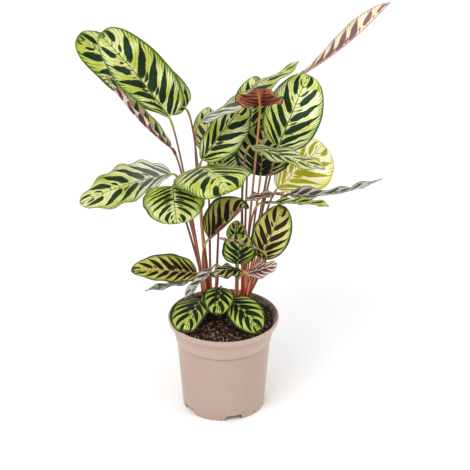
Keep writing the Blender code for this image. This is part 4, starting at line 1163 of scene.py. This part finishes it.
def stalk_path(form, shift):
    """Centre line of a stalk, from its crown to the blade's neck."""
    crown_x, crown_y = CROWNS[form["crown"]]
    neck = form["neck"]
    reach = np.array([neck[0] - crown_x, neck[1] - crown_y])
    reach = reach / (np.linalg.norm(reach) + 0.03)
    cosine, sine = math.cos(shift), math.sin(shift)
    lean = np.array([reach[0] * cosine - reach[1] * sine, reach[0] * sine + reach[1] * cosine])
    foot = np.array([crown_x + CROWN_SPREAD * lean[0], crown_y + CROWN_SPREAD * lean[1],
                     SOIL_LEVEL - STALK_SINK])
    tangent = midrib(form)[1][0]
    end = neck - tangent * 1.5 * GAP
    span = np.linalg.norm(end - foot)
    rise = unit(end - foot + np.array([0.0, 0.0, STALK_RISE * span])) * span * 0.9
    arrive = tangent * min(0.6 * span, STALK_ARRIVAL)
    t = np.linspace(0.0, 1.0, STALK_RINGS + 1)[:, None]
    path = ((2 * t ** 3 - 3 * t ** 2 + 1) * foot + (t ** 3 - 2 * t ** 2 + t) * rise
            + (3 * t ** 2 - 2 * t ** 3) * end + (t ** 3 - t ** 2) * arrive)
    return path


# %% One straight stalk, cut into rings
straight = rod(STALK_SIDES, 1.0, 1.0, (0, 0, 0))
cut_rings(straight, [ring / STALK_RINGS - 0.5 for ring in range(1, STALK_RINGS)])
print("straight stalk:", triangles(straight), "triangles")


# %% Bend a copy along its path
MAROON_KNEES = ("leaf_high_left_folded", "leaf_far_right_twisted")
GLOWING_STALK = "leaf_top_maroon"


def model_stalk(form, shift, tint):
    """A stalk bent along its path. shift turns its foot in the crown, and tint makes it paler."""
    path = stalk_path(form, shift)
    tangent, normal = (values[0] for values in midrib(form)[1:3])
    run = np.append(0.0, np.cumsum(np.linalg.norm(np.diff(path, axis=0), axis=1)))
    left = run[-1] - run
    share = run / run[-1]
    maroon = form["name"] in MAROON_KNEES
    radius = STALK_FOOT_RADIUS + (STALK_TOP_RADIUS - STALK_FOOT_RADIUS) * share
    radius += SHEATH_SWELL * np.exp(-(run / SHEATH_REACH) ** 2)
    swell = KNEE_SWELL * (MAROON_SWELL if maroon else 1.0)
    radius += swell * np.exp(-((left - 0.5 * KNEE_LENGTH) / (0.4 * KNEE_LENGTH)) ** 2)
    path[-1] += tangent * STALK_OVERLAP - normal * END_DROP
    radius[-1] = END_RADIUS
    tangents = unit(np.gradient(path, axis=0))
    sides = [unit(np.cross(tangents[0], (0.0, 1.0, 0.0)))]
    for along in tangents[1:]:
        sides.append(unit(sides[-1] - np.dot(sides[-1], along) * along))

    stalk = copied(straight)
    mesh = stalk.data
    x, y, z = coordinates(mesh).T
    ring = np.rint((z + 0.5) * STALK_RINGS).astype(int)
    out = x[:, None] * np.array(sides)[ring] + y[:, None] * np.cross(tangents, sides)[ring]
    mesh.vertices.foreach_set("co", (path[ring] + radius[ring][:, None] * out).ravel())
    mesh.update()
    grain = np.stack([x + 10.0 * tint, y, share[ring]], axis=-1)
    mesh.attributes.new("grain", "FLOAT_VECTOR", "POINT").data.foreach_set("vector", grain.ravel())
    knee = smooth((1.5 * KNEE_LENGTH - left) / KNEE_LENGTH)[ring]
    keep_numbers(mesh, tint=tint, knee=knee, maroon_knee=knee * maroon,
                 glow=form["name"] == GLOWING_STALK)
    return stalk


# %% [markdown]
# A stalk changes colour on its way up: crimson where the sheath hugs it, orange-brown, then a
# thin purple-brown, and olive at the knee. Lengthwise orange and dark streaks are partly the
# stalk's own striping and partly painted highlight and painted shade. The left crown is older and
# darker than the right one. Two knees are swollen and maroon, and the stalk of the leaf that shows
# its maroon back glows orange at the top.


# %% Satin stalk skin
def stalk_skin(name, foot, low, high, knee_colour, stripe_and_highlight):
    material, tree, shader = new_finish(name, 0.36, ior=1.42)
    grain = node(tree, "Attribute", attribute_name="grain").outputs["Vector"]
    share = node(tree, "SeparateXYZ", grain).outputs["Z"]
    skin = blend(tree, ramp(tree, share, 0.12, 0.42), foot, low)
    skin = blend(tree, ramp(tree, share, 0.25, 0.75), skin, high)

    # Dark and orange streaks drawn out along the stalk, partly its own striping and partly painted
    # shade and painted highlight
    drawn_out = node(tree, "VectorMath", grain, (0.62, 0.62, 1.6), operation="MULTIPLY")
    streak = node(tree, "TexNoise", drawn_out, at={"Scale": 1.6, "Detail": 2.0})
    elsewhere = node(tree, "VectorMath", drawn_out, (7.0, 3.0, 2.0), operation="ADD")
    dark = node(tree, "TexNoise", elsewhere, at={"Scale": 2.2, "Detail": 1.0})
    skin = blend(tree, ramp(tree, dark, 0.50, 0.60, 0.0, 0.7), skin, "#3a1410")
    stripes_and_highlights = maths(tree, "MULTIPLY", ramp(tree, streak, 0.50, 0.56, 0.0, 0.95),
                    ramp(tree, share, 0.35, 0.85, 1.0, 0.3))
    skin = blend(tree, stripes_and_highlights, skin, stripe_and_highlight)

    # The upper end
    upper_part = ramp(tree, share, 0.45, 0.85, 0.0, 0.85)
    skin = blend(tree, maths(tree, "MULTIPLY", stored(tree, "glow"), upper_part), skin, "#d09048")
    skin = blend(tree, stored(tree, "knee"), skin, knee_colour)
    skin = blend(tree, stored(tree, "maroon_knee"), skin, "#6e3030")
    bright = ramp(tree, stored(tree, "tint"), 0.0, 1.0, 0.85, 1.5)
    skin = node(tree, "HueSaturation", at={"Value": bright, "Color": skin})
    fill(tree, shader.inputs["Base Color"], skin)
    roughen(tree, shader, streak, 0.3, 0.0003)
    return material


STALK_SKINS = {
    "left": stalk_skin("satin_stalk_dark_red", "#9e2c24", "#985036", "#684240", "#8a8436", "#e29c58"),
    "right": stalk_skin("satin_stalk_crimson", "#e23c38", "#a8543e", "#6e4a46", "#9a8a3a", "#eca86a"),
}

# %% The two crowns with their stalks
for side, (crown_x, crown_y) in CROWNS.items():
    stub = turned_piece([(CROWN_RADIUS, SOIL_LEVEL - CROWN_DEPTH),
                         (CROWN_RADIUS, SOIL_LEVEL - 0.002),
                         (0.93 * CROWN_RADIUS, SOIL_LEVEL + 0.0015),
                         (0.72 * CROWN_RADIUS, SOIL_LEVEL + 0.004)], 48)
    stub.location = (crown_x, crown_y, 0.0)
    only(stub)
    bpy.ops.object.transform_apply(location=True)
    ours = [form for form in LEAVES if form["crown"] == side]
    stalks = [model_stalk(form, (index % 3 - 1) * STALK_FAN, chance.uniform(0.0, 1.0))
              for index, form in enumerate(ours)]
    finish_piece(joined(*stalks, stub), "crown_" + side, "stalk", "stalks_" + side,
                 material=STALK_SKINS[side], sharp_from=50.0)
bpy.data.objects.remove(straight)

# %% [markdown]
# ## Floor, light and camera
# The photograph is high-key: the plant stands on white under a large soft light, with only a
# breath of shadow. A white floor, a pale sky all round and two big soft lights give that.

# %% The floor
floor = added(bpy.ops.mesh.primitive_circle_add, vertices=96, radius=5.0, fill_type="NGON")
floor.name = "studio_floor"
paper, _, paper_shader = new_finish("matt_white_paper", 0.9)
paper_shader.inputs["Base Color"].default_value = colour("#f6f6f6")
paper_shader.inputs["Specular IOR Level"].default_value = 0.1
floor.data.materials.append(paper)

# %% The lights
sky = bpy.data.worlds.new("pale_studio")
sky.use_nodes = True
sky.node_tree.nodes["Background"].inputs["Color"].default_value = colour("#ffffff")
sky.node_tree.nodes["Background"].inputs["Strength"].default_value = 1.0
bpy.context.scene.world = sky


def aim(obj, target):
    """Turn a light or a camera to look at a place."""
    obj.rotation_euler = (Vector(target) - obj.location).to_track_quat("-Z", "Y").to_euler()


def soft_light(name, place, size, power):
    bpy.ops.object.light_add(type="AREA", location=place)
    light = bpy.context.object
    light.name = name
    light.data.shape = "DISK"
    light.data.size = size
    light.data.energy = power
    aim(light, (0.0, 0.0, 0.3))


soft_light("key_light", (-1.0, -1.7, 2.5), 1.8, 36.0)
soft_light("fill_light", (1.8, -0.9, 1.5), 1.4, 8.0)
print("lights are set")

# %% [markdown]
# The camera stands 2.4 m away and looks down by 27 degrees, with a long lens: that is what makes
# the pot's rim and foot show as they do in the photograph.

# %% The camera
LENS_MM = 148.9
SENSOR_MM = 36.0
camera_target = Vector(CAMERA_AIM) + PLANT_PLACE
bpy.ops.object.camera_add(location=camera_target - CAMERA_DISTANCE * Vector(AHEAD))
camera = bpy.context.object
aim(camera, camera_target)
camera.data.lens = LENS_MM
camera.data.sensor_width = SENSOR_MM
bpy.context.scene.camera = camera
bpy.context.scene.view_settings.view_transform = "Standard"
